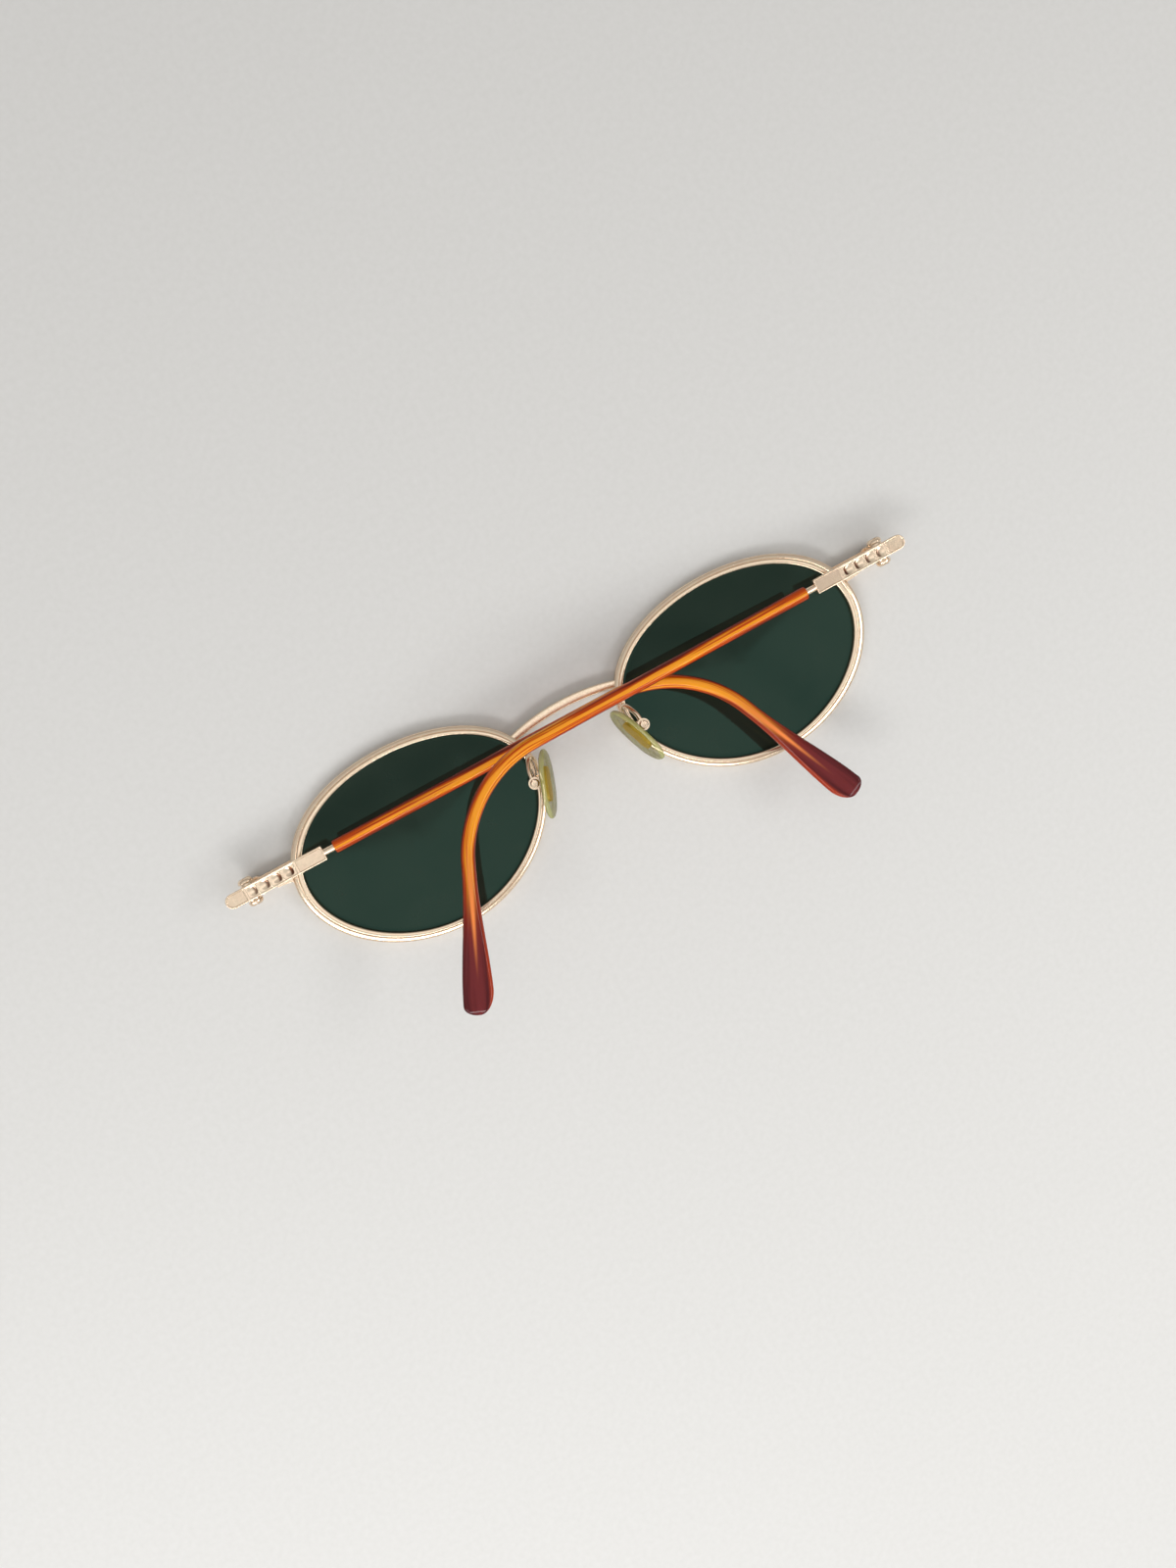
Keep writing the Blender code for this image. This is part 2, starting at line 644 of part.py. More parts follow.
def make_temple_sleeve(name):
    """Sleeve over the core: a slim bar, a bend behind the ear and a flat rounded tip."""
    lengths = bend_lengths(SLEEVE_START, BEND_START + BEND_LENGTH)
    rest = TEMPLE_LENGTH - lengths[-1]
    shares = [math.sin(0.5 * math.pi * i / EAR_STEPS) for i in range(1, EAR_STEPS + 1)]
    ear = lengths[-1]
    lengths += [ear + (rest - TIP_END) * share for share in shares]
    sleeve = loft(name, [sleeve_ring(length) for length in lengths])
    bore = CORE_DIAMETER / 2 + SLEEVE_PLAY
    stops = bend_lengths(SLEEVE_START - CORE_SHOWING, CORE_LENGTH + SEAT_GAP)
    path = [temple_path(length)[0] for length in stops]
    return combine(sleeve, sweep_wire("sleeve_bore", path, bore))


def make_pad_arm(name):
    """Bent wire from the back of the rim, up round a loop and down to the pad's box."""
    foot = Vector((NASAL_X - RIM_WIDTH / 2, ARM_FOOT_Y, RIM_DEPTH + SEAT_GAP))
    end = BOX_CENTRE + Vector((0, BOX_RADIUS + SEAT_GAP, 0))
    lift = end.z - foot.z
    loop = ARM_LOOP_Y - ARM_FOOT_Y
    span = end.x - foot.x
    points = [foot + Vector((side * span, up * loop, rise * lift)) for side, up, rise in ARM_SHAPE]
    points += [end + Vector((0, ARM_DIAMETER, 0)), end]
    return sweep_wire(name, points, ARM_DIAMETER / 2, "NURBS")


def make_pad_box(name):
    """Round box on the arm's end, slotted towards the pad to take the insert's eye."""
    half = BOX_HEIGHT / 2
    profile = [(0.0, half), (BOX_RADIUS, half), (BOX_RADIUS, -half), (0.0, -half)]
    box = turn_profile(name, profile, BOX_CENTRE)
    gap = EYE_THICKNESS + 2 * SIDE_PLAY
    radius = EYE_DIAMETER / 2 + SIDE_PLAY
    eye_room = [(0.0, gap / 2), (radius, gap / 2), (radius, -gap / 2), (0.0, -gap / 2)]
    combine(box, turn_profile("eye_room", eye_room, BOX_CENTRE))
    basis = (PAD_OUTWARD, PAD_LONG, Vector((0, 0, -1)))
    size = (2 * BOX_RADIUS, 2 * radius, gap)
    combine(box, block("box_mouth", size, BOX_CENTRE - PAD_OUTWARD * BOX_RADIUS, basis))
    reach = Vector((0, 0, BOX_HEIGHT))
    return drill(box, PAD_SCREW_DIAMETER / 2 + PIVOT_PLAY, BOX_CENTRE - reach, BOX_CENTRE + reach)


def make_pad_screw(name):
    """Slotted screw through the box and the insert's eye."""
    shank, head = PAD_SCREW_DIAMETER / 2, PAD_HEAD_DIAMETER / 2
    seat = BOX_HEIGHT / 2 + SEAT_GAP
    top = seat + PAD_HEAD_HEIGHT
    rounding = (1 - PAD_HEAD_FLAT) * head
    profile = [(0.0, top), (head - rounding, top), (head, top - rounding), (head, seat)]
    profile += [(shank, seat), (shank, -BOX_HEIGHT / 2), (0.0, -BOX_HEIGHT / 2)]
    screw = turn_profile(name, profile, BOX_CENTRE)
    return cut_slot(screw, 2 * PAD_HEAD_DIAMETER, BOX_CENTRE + Vector((0, 0, top)), 1)


def pad_basis():
    """Return the pad's own axes: along it, across it and out of its face."""
    return (PAD_LONG, PAD_ACROSS, PAD_FACE)


def make_shank(name, grow):
    """Return the bent wire that joins the screw's eye to the insert, grown by a clearance."""
    eye_wall = (EYE_DIAMETER + PAD_SCREW_DIAMETER) / 4
    knee = BOX_RADIUS + SHANK_DIAMETER / 2 + SIDE_PLAY
    foot = PAD_CENTRE - PAD_FACE * (INSERT_THICKNESS / 2) - PAD_ACROSS * (PAD_RISE / 2)
    points = [-PAD_OUTWARD * eye_wall, -PAD_OUTWARD * knee, foot]
    return sweep_wire(name, points, SHANK_DIAMETER / 2 + grow)


def insert_plate(name, grow):
    """Return the insert's rounded plate, grown all round by a clearance."""
    half = INSERT_WIDTH / 2 + grow
    straight = (INSERT_LENGTH - INSERT_WIDTH) / 2
    points = arc((straight, 0), half, -math.pi / 2, math.pi / 2, 7)
    points += arc((-straight, 0), half, math.pi / 2, 1.5 * math.pi, 7)
    plate = extrude_outline(name, points, INSERT_THICKNESS + 2 * grow)
    plate.matrix_world = Matrix.Translation(PAD_CENTRE) @ Matrix(pad_basis()).transposed().to_4x4()
    return plate


def make_pad_insert(name):
    """Metal insert: an eye on the screw, a short shank and a rounded plate in the pad."""
    half, outer = EYE_THICKNESS / 2, EYE_DIAMETER / 2
    bore = PAD_SCREW_DIAMETER / 2 + PIVOT_PLAY
    profile = [(bore, half), (outer, half), (outer, -half), (bore, -half), (bore, half)]
    eye = turn_profile(name, profile, (0, 0, 0))
    combine(eye, make_shank("shank", 0.0), "UNION")
    return combine(eye, insert_plate("plate", 0.0), "UNION")


def make_nose_pad(name):
    """Soft pad: a flattened oval with the pocket that holds the insert."""
    work = bmesh.new()
    bmesh.ops.create_uvsphere(work, u_segments=PAD_SIDES, v_segments=PAD_SIDES // 2, radius=1.0)
    size = Vector((PAD_LENGTH, PAD_WIDTH, PAD_THICKNESS)) / 2
    for vert in work.verts:
        for i in range(3):
            vert.co[i] = math.copysign(abs(vert.co[i]) ** PAD_SQUARENESS, vert.co[i]) * size[i]
    mesh = bpy.data.meshes.new(name)
    work.to_mesh(mesh)
    work.free()
    pad = new_object(name, mesh)
    pad.matrix_world = Matrix.Translation(PAD_CENTRE) @ Matrix(pad_basis()).transposed().to_4x4()
    combine(pad, insert_plate("pocket", SIDE_PLAY))
    return combine(pad, make_shank("shank_way", SIDE_PLAY))


FRONT_PIECES = {
    "rim": (make_rim, GOLD), "lens": (make_lens, LENS_TINT), "end_piece": (make_end_piece, GOLD),
    "closing_block": (make_closing_block, GOLD), "closing_screw": (make_closing_screw, GOLD),
    "hinge_fork": (make_hinge_fork, GOLD), "hinge_screw": (make_hinge_screw, GOLD),
    "hinge_nut": (make_hinge_nut, GOLD), "pad_arm": (make_pad_arm, GOLD),
    "pad_box": (make_pad_box, GOLD), "pad_screw": (make_pad_screw, GOLD),
}
TEMPLE_PIECES = {
    "temple_plate": (make_temple_plate, GOLD), "temple_knuckle": (make_temple_knuckle, GOLD),
    "temple_core": (make_temple_core, GOLD), "temple_sleeve": (make_temple_sleeve, AMBER),
}
PAD_PIECES = {"pad_insert": (make_pad_insert, GOLD), "nose_pad": (make_nose_pad, CLEAR_PAD)}


def smooth(item):
    """Shade the round faces smooth and keep the real edges sharp."""
    item.data.shade_smooth()
    item.data.set_sharp_from_angle(angle=SHARP_EDGE)


def attach(item, parent):
    """Hang a piece on its parent, keeping the place it was modelled in."""
    local = item.matrix_world.copy()
    item.parent = parent
    item.matrix_basis = local


def make_twin(item, name, parent):
    """Return the mirror image of a right-hand piece, hung on the left-hand parent."""
    mesh = item.data.copy()
    work = bmesh.new()
    work.from_mesh(mesh)
    for vert in work.verts:
        vert.co.x = -vert.co.x
    bmesh.ops.reverse_faces(work, faces=work.faces)
    work.to_mesh(mesh)
    work.free()
    twin = new_object(name, mesh)
    twin.parent = parent
    twin.matrix_basis = FLIP @ item.matrix_basis @ FLIP
    return twin


def make_pairs(pieces, right_parent, left_parent):
    """Model each right-hand piece and its left-hand twin."""
    for label, (make, finish) in pieces.items():
        right = make("right_" + label)
        bpy.context.view_layer.update()
        attach(right, right_parent)
        smooth(right)
        twin = make_twin(right, "left_" + label, left_parent)
        give_finish(right, finish)
        give_finish(twin, finish)


def stand_on_origin(root):
    """Move the whole object so that the middle of its underside is the origin."""
    bpy.context.view_layer.update()
    corners = []
    for item in PARTS.objects:
        if item.type == "MESH":
            corners += [item.matrix_world @ vert.co for vert in item.data.vertices]
    low = [min(corner[i] for corner in corners) for i in range(3)]
    high = [max(corner[i] for corner in corners) for i in range(3)]
    root.location = (-(low[0] + high[0]) / 2, -(low[1] + high[1]) / 2, -low[2])


def main():
    """Build the front, the nose pads and the folded temples."""
    root = new_axis("front_frame", (0, 0, 0), None)
    hinge = Vector((HINGE_X, TEMPLE_LINE, HINGE_HEIGHT))
    right_hinge = new_axis("right_hinge_axis", hinge, root, RIGHT_FOLD)
    left_hinge = new_axis("left_hinge_axis", FLIP @ hinge, root, -LEFT_FOLD)
    right_rock = new_axis("right_pad_axis", BOX_CENTRE, root)
    left_rock = new_axis("left_pad_axis", FLIP @ BOX_CENTRE, root)
    make_pairs(FRONT_PIECES, root, root)
    make_pairs(TEMPLE_PIECES, right_hinge, left_hinge)
    make_pairs(PAD_PIECES, right_rock, left_rock)
    bridge = make_bridge("bridge")
    attach(bridge, root)
    smooth(bridge)
    give_finish(bridge, GOLD)
    stand_on_origin(root)
    bpy.context.view_layer.update()


main()
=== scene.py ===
"""Dressed model of folded oval wire-rim sunglasses, lying face down on a pale table.

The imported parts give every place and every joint. This script adds the smooth shapes,
the ornament and the finishes, and sets up the camera, the light and the floor.
X runs across the glasses, Y from the cheeks to the brow, Z from the front to the wearer.
"""

import json
import logging
import math
from dataclasses import dataclass, field
from enum import Enum
from typing import Any, Sequence

import bmesh
import bpy
from bpy.types import Material, Mesh, Node, NodeSocket, NodeTree, Object
from mathutils import Matrix, Vector


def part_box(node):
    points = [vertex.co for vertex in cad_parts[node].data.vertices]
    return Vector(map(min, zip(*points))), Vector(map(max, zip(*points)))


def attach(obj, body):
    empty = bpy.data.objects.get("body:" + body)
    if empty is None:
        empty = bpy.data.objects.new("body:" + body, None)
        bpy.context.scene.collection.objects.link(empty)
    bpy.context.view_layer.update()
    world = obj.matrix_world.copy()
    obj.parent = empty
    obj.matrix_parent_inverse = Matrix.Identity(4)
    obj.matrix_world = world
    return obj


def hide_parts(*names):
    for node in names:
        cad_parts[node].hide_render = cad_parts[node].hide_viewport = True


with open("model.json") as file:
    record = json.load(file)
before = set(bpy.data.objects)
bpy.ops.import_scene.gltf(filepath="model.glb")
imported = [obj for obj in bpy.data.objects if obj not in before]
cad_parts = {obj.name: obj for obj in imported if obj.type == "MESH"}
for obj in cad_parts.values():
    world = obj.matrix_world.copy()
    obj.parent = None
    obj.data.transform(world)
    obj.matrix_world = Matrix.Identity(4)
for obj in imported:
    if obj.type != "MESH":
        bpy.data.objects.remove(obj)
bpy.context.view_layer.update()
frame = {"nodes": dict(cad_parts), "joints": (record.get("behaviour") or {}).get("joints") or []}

LOG = logging.getLogger("sunglasses")
MM = 0.001
WELD = 0.001 * MM
SHARP_EDGE = math.radians(38)
Span = tuple[float, float]

# A Mix node has sockets of the same names for each kind of value, so its colours go by number.
FACTOR, BELOW, ABOVE, MIXED = 0, 6, 7, 2


class Side(Enum):
    """The wearer's right-hand or left-hand half."""

    RIGHT = 1
    LEFT = -1

    @property
    def label(self) -> str:
        """The side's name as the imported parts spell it."""
        return self.name.lower()

    @property
    def mirror(self) -> Matrix:
        """The matrix that turns a right-hand shape into this side's."""
        return Matrix.Diagonal((float(self.value), 1.0, 1.0, 1.0))


class Slot(Enum):
    """The record's material slots."""

    GOLD = "gold"
    LENS = "lens"
    SLEEVE = "sleeve"
    PAD = "pad"


def linear(colour: str) -> tuple[float, float, float, float]:
    """Turn an sRGB hex colour into a linear one.

    Args:
        colour: Six hex digits after a hash sign.

    Returns:
        Linear red, green and blue, and an alpha of one.
    """
    parts = [int(colour[i:i + 2], 16) / 255 for i in (1, 3, 5)]
    red, green, blue = [
        part / 12.92 if part <= 0.04045 else ((part + 0.055) / 1.055) ** 2.4 for part in parts
    ]
    return red, green, blue, 1.0


def feed(tree: NodeTree, node: Node, inputs: dict[Any, Any]) -> None:
    """Set or link a node's inputs.

    Args:
        tree: The tree that holds the node.
        node: The node to feed.
        inputs: Socket name or number, with an output socket or a plain value for each.
    """
    for key, value in inputs.items():
        if isinstance(value, NodeSocket):
            tree.links.new(value, node.inputs[key])
        else:
            node.inputs[key].default_value = value


def add_node(
    tree: NodeTree, kind: str, inputs: dict[Any, Any] | None = None, **settings: Any
) -> Node:
    """Add a node with its settings, values and links.

    Args:
        tree: The tree to add to.
        kind: Blender's name for the kind of node.
        inputs: Socket name or number, with an output socket or a plain value for each.
        settings: Properties of the node itself.

    Returns:
        The new node.
    """
    node = tree.nodes.new(kind)
    for key, value in settings.items():
        setattr(node, key, value)
    feed(tree, node, inputs or {})
    return node


def start_material(name: str) -> tuple[Material, NodeTree, Node]:
    """Make an empty material.

    Args:
        name: What the material is.

    Returns:
        The material, its tree and its Principled shader.
    """
    material = bpy.data.materials.new(name)
    material.use_nodes = True
    tree = material.node_tree
    return material, tree, tree.nodes["Principled BSDF"]


@dataclass(frozen=True)
class GoldPlate:
    """Polished gold plating on nickel silver.

    Pale, slightly rosy metal, cream where it mirrors the light, with soft clouding from handling.
    Brown is painted shade and painted dark reflection, laid into the rim's groove, over the
    recessed panels and on one wall of each scoop.
    """

    name: str = "polished_gold_plate"
    light: str = "#fbeacd"
    rosy: str = "#f4d6bc"
    # Brown of the painted shade and painted dark reflections in the rim's groove, the recessed panels
    # and the scoops.
    hollow: str = "#6b3f2a"
    cloud: float = 2.6 * MM
    scratch: float = 0.5 * MM
    smoothest: float = 0.16
    dullest: float = 0.30

    def material(self) -> Material:
        """Build the material.

        Returns:
            The material with its nodes.
        """
        material, tree, shader = start_material(self.name)
        place = add_node(tree, "ShaderNodeTexCoord").outputs["Object"]
        cloud = add_node(tree, "ShaderNodeTexNoise", {
            "Vector": place, "Scale": 1 / self.cloud, "Detail": 3.0, "Roughness": 0.55})
        scratch = add_node(tree, "ShaderNodeTexNoise", {
            "Vector": place, "Scale": 1 / self.scratch, "Detail": 5.0, "Roughness": 0.7})
        tone = add_node(tree, "ShaderNodeMix", {
            FACTOR: cloud.outputs["Fac"], BELOW: linear(self.rosy), ABOVE: linear(self.light)},
            data_type="RGBA")
        # Painted shade and painted dark reflection: the point mask read here darkens the metal towards
        # brown in the rim's groove, over the recessed panels and on each scoop's steep wall.
        depth = add_node(tree, "ShaderNodeAttribute", attribute_name="hollow")
        colour = add_node(tree, "ShaderNodeMix", {
            FACTOR: depth.outputs["Fac"], BELOW: tone.outputs[MIXED], ABOVE: linear(self.hollow)},
            data_type="RGBA")
        dullness = add_node(tree, "ShaderNodeMapRange", {
            "Value": scratch.outputs["Fac"], "From Min": 0.3, "From Max": 0.75,
            "To Min": self.smoothest, "To Max": self.dullest})
        bump = add_node(tree, "ShaderNodeBump", {
            "Height": scratch.outputs["Fac"], "Strength": 0.05, "Distance": 0.02 * MM})
        feed(tree, shader, {
            "Base Color": colour.outputs[MIXED], "Metallic": 1.0,
            "Roughness": dullness.outputs["Result"], "Normal": bump.outputs["Normal"]})
        return material


@dataclass(frozen=True)
class TintedLens:
    """Dark green tinted lens glass with a hard coat.

    Nearly black green seen from the back, with a teal cast in what it mirrors and a faint haze
    of fingermarks.
    """

    name: str = "green_tinted_lens_glass"
    deep: str = "#1b1f18"
    cast: str = "#272a23"
    mirror: str = "#86cfbb"
    smear: float = 9.0 * MM
    cover: float = 0.97

    def material(self) -> Material:
        """Build the material.

        Returns:
            The material with its nodes.
        """
        material, tree, shader = start_material(self.name)
        place = add_node(tree, "ShaderNodeTexCoord").outputs["Object"]
        smear = add_node(tree, "ShaderNodeTexNoise", {
            "Vector": place, "Scale": 1 / self.smear, "Detail": 4.0, "Distortion": 0.6})
        tone = add_node(tree, "ShaderNodeMix", {
            FACTOR: smear.outputs["Fac"], BELOW: linear(self.deep), ABOVE: linear(self.cast)},
            data_type="RGBA")
        haze = add_node(tree, "ShaderNodeMapRange", {
            "Value": smear.outputs["Fac"], "From Min": 0.45, "From Max": 0.8,
            "To Min": 0.025, "To Max": 0.09})
        feed(tree, shader, {
            "Base Color": tone.outputs[MIXED], "Roughness": haze.outputs["Result"], "IOR": 1.52,
            "Alpha": self.cover, "Specular Tint": linear(self.mirror)})
        return material


@dataclass(frozen=True)
class AmberAcetate:
    """Streaked amber cellulose acetate, tumbled to a high gloss.

    A honey streak over the gold core, orange beside it and dark brown streaks towards the edges,
    then red towards the ear and burgundy in the flat tip. The end of the core shines through the
    tip as a flame. A painted glow along the tip's thin front edge stands for light coming through
    it. Each set of streaks has a length, a count across the width, a fineness and a sway. Bands
    are shares of the half width.
    """

    name: str = "streaked_amber_acetate"
    honey: str = "#e8951c"
    orange: str = "#bc4504"
    brown: str = "#641805"
    red: str = "#86200d"
    burgundy: str = "#4d1216"
    # Painted glow: a brighter red standing for light coming through the tip's thin front edge.
    glow: str = "#a23412"
    wine: str = "#6b2426"
    flame: str = "#f28d48"
    streaks: tuple[tuple[float, float, float, float], ...] = (
        (34.0 * MM, 1.6, 2.0, 2.6), (22.0 * MM, 5.0, 3.0, 2.0))
    streak_level: float = 2.3
    honey_span: Span = (52.0 * MM, 82.0 * MM)
    honey_lift: float = 0.3
    orange_band: Span = (0.02, 0.42)
    brown_band: Span = (0.5, 1.1)
    wine_band: Span = (-0.3, 0.9)
    # Where the painted glow lies across the tip's front edge.
    edge_band: Span = (-0.62, -0.86)
    red_span: Span = (98.0 * MM, 118.0 * MM)
    dark_span: Span = (107.0 * MM, 122.0 * MM)
    flame_span: Span = (106.0 * MM, 126.0 * MM)
    flame_band: Span = (0.26, -0.14)
    flame_width: float = 0.3
    flame_rise: float = 8.0 * MM
    flame_fade: float = 14.0 * MM

    def coat(self, tree: NodeTree, base: Any, paint: Any, *masks: tuple[Any, Span]) -> Any:
        """Lay a colour over another where all its masks are strong.

        Args:
            tree: The material's tree.
            base: The colour below.
            paint: The colour on top.
            masks: A value for each mask, with where it is nothing and where it is full.

        Returns:
            The socket with the mixed colour.
        """
        amount = 1.0
        for value, (none, full) in masks:
            ease = add_node(tree, "ShaderNodeMapRange", {
                "Value": value, "From Min": none, "From Max": full}, interpolation_type="SMOOTHSTEP")
            amount = add_node(tree, "ShaderNodeMath", {
                0: ease.outputs["Result"], 1: amount}, operation="MULTIPLY").outputs["Value"]
        mixed = add_node(
            tree, "ShaderNodeMix", {FACTOR: amount, BELOW: base, ABOVE: paint}, data_type="RGBA")
        return mixed.outputs[MIXED]

    def material(self) -> Material:
        """Build the material from streaks along the sleeve and coats of colour.

        Returns:
            The material with its nodes.
        """
        material, tree, shader = start_material(self.name)
        along = add_node(tree, "ShaderNodeAttribute", attribute_name="straight").outputs["Vector"]
        axis = add_node(tree, "ShaderNodeSeparateXYZ", {"Vector": along}).outputs
        length, across = axis["X"], axis["Y"]
        aside = add_node(tree, "ShaderNodeMath", {0: across}, operation="ABSOLUTE").outputs["Value"]
        level: Any = self.streak_level
        for span, count, detail, sway in self.streaks:
            where = add_node(tree, "ShaderNodeMapping", {
                "Vector": along, "Scale": (1 / span, count, 0.0)})
            noise = add_node(tree, "ShaderNodeTexNoise", {
                "Vector": where.outputs["Vector"], "Scale": 1.0, "Detail": detail, "Roughness": 0.6})
            level = add_node(tree, "ShaderNodeMath", {
                0: noise.outputs["Fac"], 1: -sway, 2: level}, operation="MULTIPLY_ADD").outputs["Value"]
        layer = add_node(tree, "ShaderNodeMath", {0: aside, 1: level}, operation="ADD")
        paler = add_node(tree, "ShaderNodeMapRange", {
            "Value": length, "From Min": self.honey_span[0], "From Max": self.honey_span[1]},
            interpolation_type="SMOOTHSTEP")
        layer = add_node(tree, "ShaderNodeMath", {
            0: paler.outputs["Result"], 1: -self.honey_lift, 2: layer.outputs["Value"]},
            operation="MULTIPLY_ADD").outputs["Value"]
        start, end = self.flame_span
        core = add_node(tree, "ShaderNodeMath", {0: axis["Z"]}, operation="ABSOLUTE")
        narrow = add_node(tree, "ShaderNodeMapRange", {
            "Value": length, "From Min": start, "From Max": end,
            "To Min": self.flame_width, "To Max": 0.0})
        beside = add_node(tree, "ShaderNodeMath", {
            0: core.outputs["Value"], 1: narrow.outputs["Result"]},
            operation="SUBTRACT").outputs["Value"]
        marbled = self.coat(tree, linear(self.wine), linear(self.burgundy), (layer, self.wine_band))
        coats = (
            (linear(self.orange), (layer, self.orange_band)),
            (linear(self.brown), (layer, self.brown_band)),
            (linear(self.red), (length, self.red_span)),
            (marbled, (length, self.dark_span)),
            # Painted glow along the front edge of the red and burgundy tip, standing for light coming
            # through it.
            (linear(self.glow), (across, self.edge_band),
             (length, (self.red_span[0], self.dark_span[1]))),
            (linear(self.flame), (beside, self.flame_band),
             (length, (start - self.flame_rise, start + self.flame_rise)),
             (length, (end, end - self.flame_fade))))
        colour: Any = linear(self.honey)
        for paint, *masks in coats:
            colour = self.coat(tree, colour, paint, *masks)
        feed(tree, shader, {
            "Base Color": colour, "Roughness": 0.11, "IOR": 1.49, "Specular IOR Level": 0.25,
            "Subsurface Weight": 0.2, "Subsurface Radius": (1.0, 0.4, 0.12),
            "Subsurface Scale": 0.4 * MM})
        return material


@dataclass(frozen=True)
class ClearPad:
    """Clear plastic of the nose pads, yellowed with wear.

    Nearly clear in the middle, where the gold insert shows through, and cloudy yellow-green
    towards the edges, where the eye looks through more of it.
    """

    name: str = "yellowed_clear_pad_plastic"
    clear: str = "#857c16"
    yellowed: str = "#5c5606"
    edge: str = "#a3a45c"
    cloud: float = 3.5 * MM
    cover: float = 0.44
    edge_cover: float = 0.66

    def material(self) -> Material:
        """Build the material.

        Returns:
            The material with its nodes.
        """
        material, tree, shader = start_material(self.name)
        place = add_node(tree, "ShaderNodeTexCoord").outputs["Object"]
        cloud = add_node(tree, "ShaderNodeTexNoise", {
            "Vector": place, "Scale": 1 / self.cloud, "Detail": 3.0})
        rim = add_node(tree, "ShaderNodeAttribute", attribute_name="rim").outputs["Fac"]
        outer = add_node(tree, "ShaderNodeMapRange", {
            "Value": rim, "From Min": 0.84, "From Max": 1.0},
            interpolation_type="SMOOTHSTEP").outputs["Result"]
        tone = add_node(tree, "ShaderNodeMix", {
            FACTOR: cloud.outputs["Fac"], BELOW: linear(self.yellowed), ABOVE: linear(self.clear)},
            data_type="RGBA")
        colour = add_node(tree, "ShaderNodeMix", {
            FACTOR: outer, BELOW: tone.outputs[MIXED], ABOVE: linear(self.edge)}, data_type="RGBA")
        cover = add_node(tree, "ShaderNodeMapRange", {
            "Value": outer, "To Min": self.cover, "To Max": self.edge_cover})
        haze = add_node(tree, "ShaderNodeMapRange", {
            "Value": cloud.outputs["Fac"], "To Min": 0.06, "To Max": 0.2})
        feed(tree, shader, {
            "Base Color": colour.outputs[MIXED], "Roughness": haze.outputs["Result"], "IOR": 1.45,
            "Alpha": cover.outputs["Result"]})
        return material


@dataclass(frozen=True)
class TableTop:
    """Matt pale laminate: an even light grey with a faint grain."""

    name: str = "matt_pale_laminate"
    light: str = "#d9d8d6"
    grain_colour: str = "#d0cfcc"
    grain: float = 1.2 * MM

    def material(self) -> Material:
        """Build the material.

        Returns:
            The material with its nodes.
        """
        material, tree, shader = start_material(self.name)
        place = add_node(tree, "ShaderNodeTexCoord").outputs["Object"]
        grain = add_node(tree, "ShaderNodeTexNoise", {
            "Vector": place, "Scale": 1 / self.grain, "Detail": 3.0})
        tone = add_node(tree, "ShaderNodeMix", {
            FACTOR: grain.outputs["Fac"], BELOW: linear(self.light), ABOVE: linear(self.grain_colour)},
            data_type="RGBA")
        feed(tree, shader, {"Base Color": tone.outputs[MIXED], "Roughness": 0.6})
        return material


def new_piece(name: str, mesh: Mesh) -> Object:
    """Link a new object with a mesh to the scene.

    Args:
        name: The piece's name.
        mesh: Its shape, already in place.

    Returns:
        The new object.
    """
    mesh.name = name
    piece = bpy.data.objects.new(name, mesh)
    bpy.context.scene.collection.objects.link(piece)
    return piece


def settle(piece: Object) -> None:
    """Turn a piece's modifiers into its own plain mesh.

    Args:
        piece: The piece with its modifiers.
    """
    bpy.context.view_layer.update()
    graph = bpy.context.evaluated_depsgraph_get()
    piece.data = bpy.data.meshes.new_from_object(piece.evaluated_get(graph))
    piece.data.name = piece.name
    piece.modifiers.clear()


def soften(mesh: Mesh) -> None:
    """Shade a mesh smooth apart from its real edges.

    Args:
        mesh: The mesh to shade.
    """
    mesh.shade_smooth()
    mesh.set_sharp_from_angle(angle=SHARP_EDGE)


def put(mesh: Mesh, matrix: Matrix) -> None:
    """Move a mesh into place and keep its faces pointing out.

    Args:
        mesh: The mesh to move.
        matrix: Its place, which may mirror it.
    """
    mesh.transform(matrix)
    if matrix.determinant() < 0:
        mesh.flip_normals()


def skin(rings: Sequence[Sequence[Sequence[float]]]) -> Mesh:
    """Skin a closed solid over rings of equally many points.

    Args:
        rings: Rings in order along the solid.

    Returns:
        The mesh, with flat ends and faces that point out.
    """
    count = len(rings[0])
    points = [tuple(point) for ring in rings for point in ring]
    faces = []
    for row in range(len(rings) - 1):
        low, high = row * count, (row + 1) * count
        for i in range(count):
            j = (i + 1) % count
            faces.append((low + i, low + j, high + j, high + i))
    faces.append(tuple(range(count)))
    faces.append(tuple(range(len(points) - count, len(points))))
    mesh = bpy.data.meshes.new("skin")
    mesh.from_pydata(points, [], faces)
    work = bmesh.new()
    work.from_mesh(mesh)
    bmesh.ops.recalc_face_normals(work, faces=work.faces)
    work.to_mesh(mesh)
    work.free()
    soften(mesh)
    return mesh


def mark(mesh: Mesh, label: str, values: Sequence[float], kind: str = "FLOAT") -> None:
    """Give every point of a mesh a value that its finish reads.

    Args:
        mesh: The mesh to mark.
        label: The attribute's name.
        values: All the points' values, one after another.
        kind: Blender's name for the kind of value.
    """
    attribute = mesh.attributes.new(label, kind, "POINT")
    attribute.data.foreach_set("vector" if kind == "FLOAT_VECTOR" else "value", values)


def smooth_step(value: float) -> float:
    """Ease a value from zero to one."""
    share = min(max(value, 0.0), 1.0)
    return share * share * (3 - 2 * share)


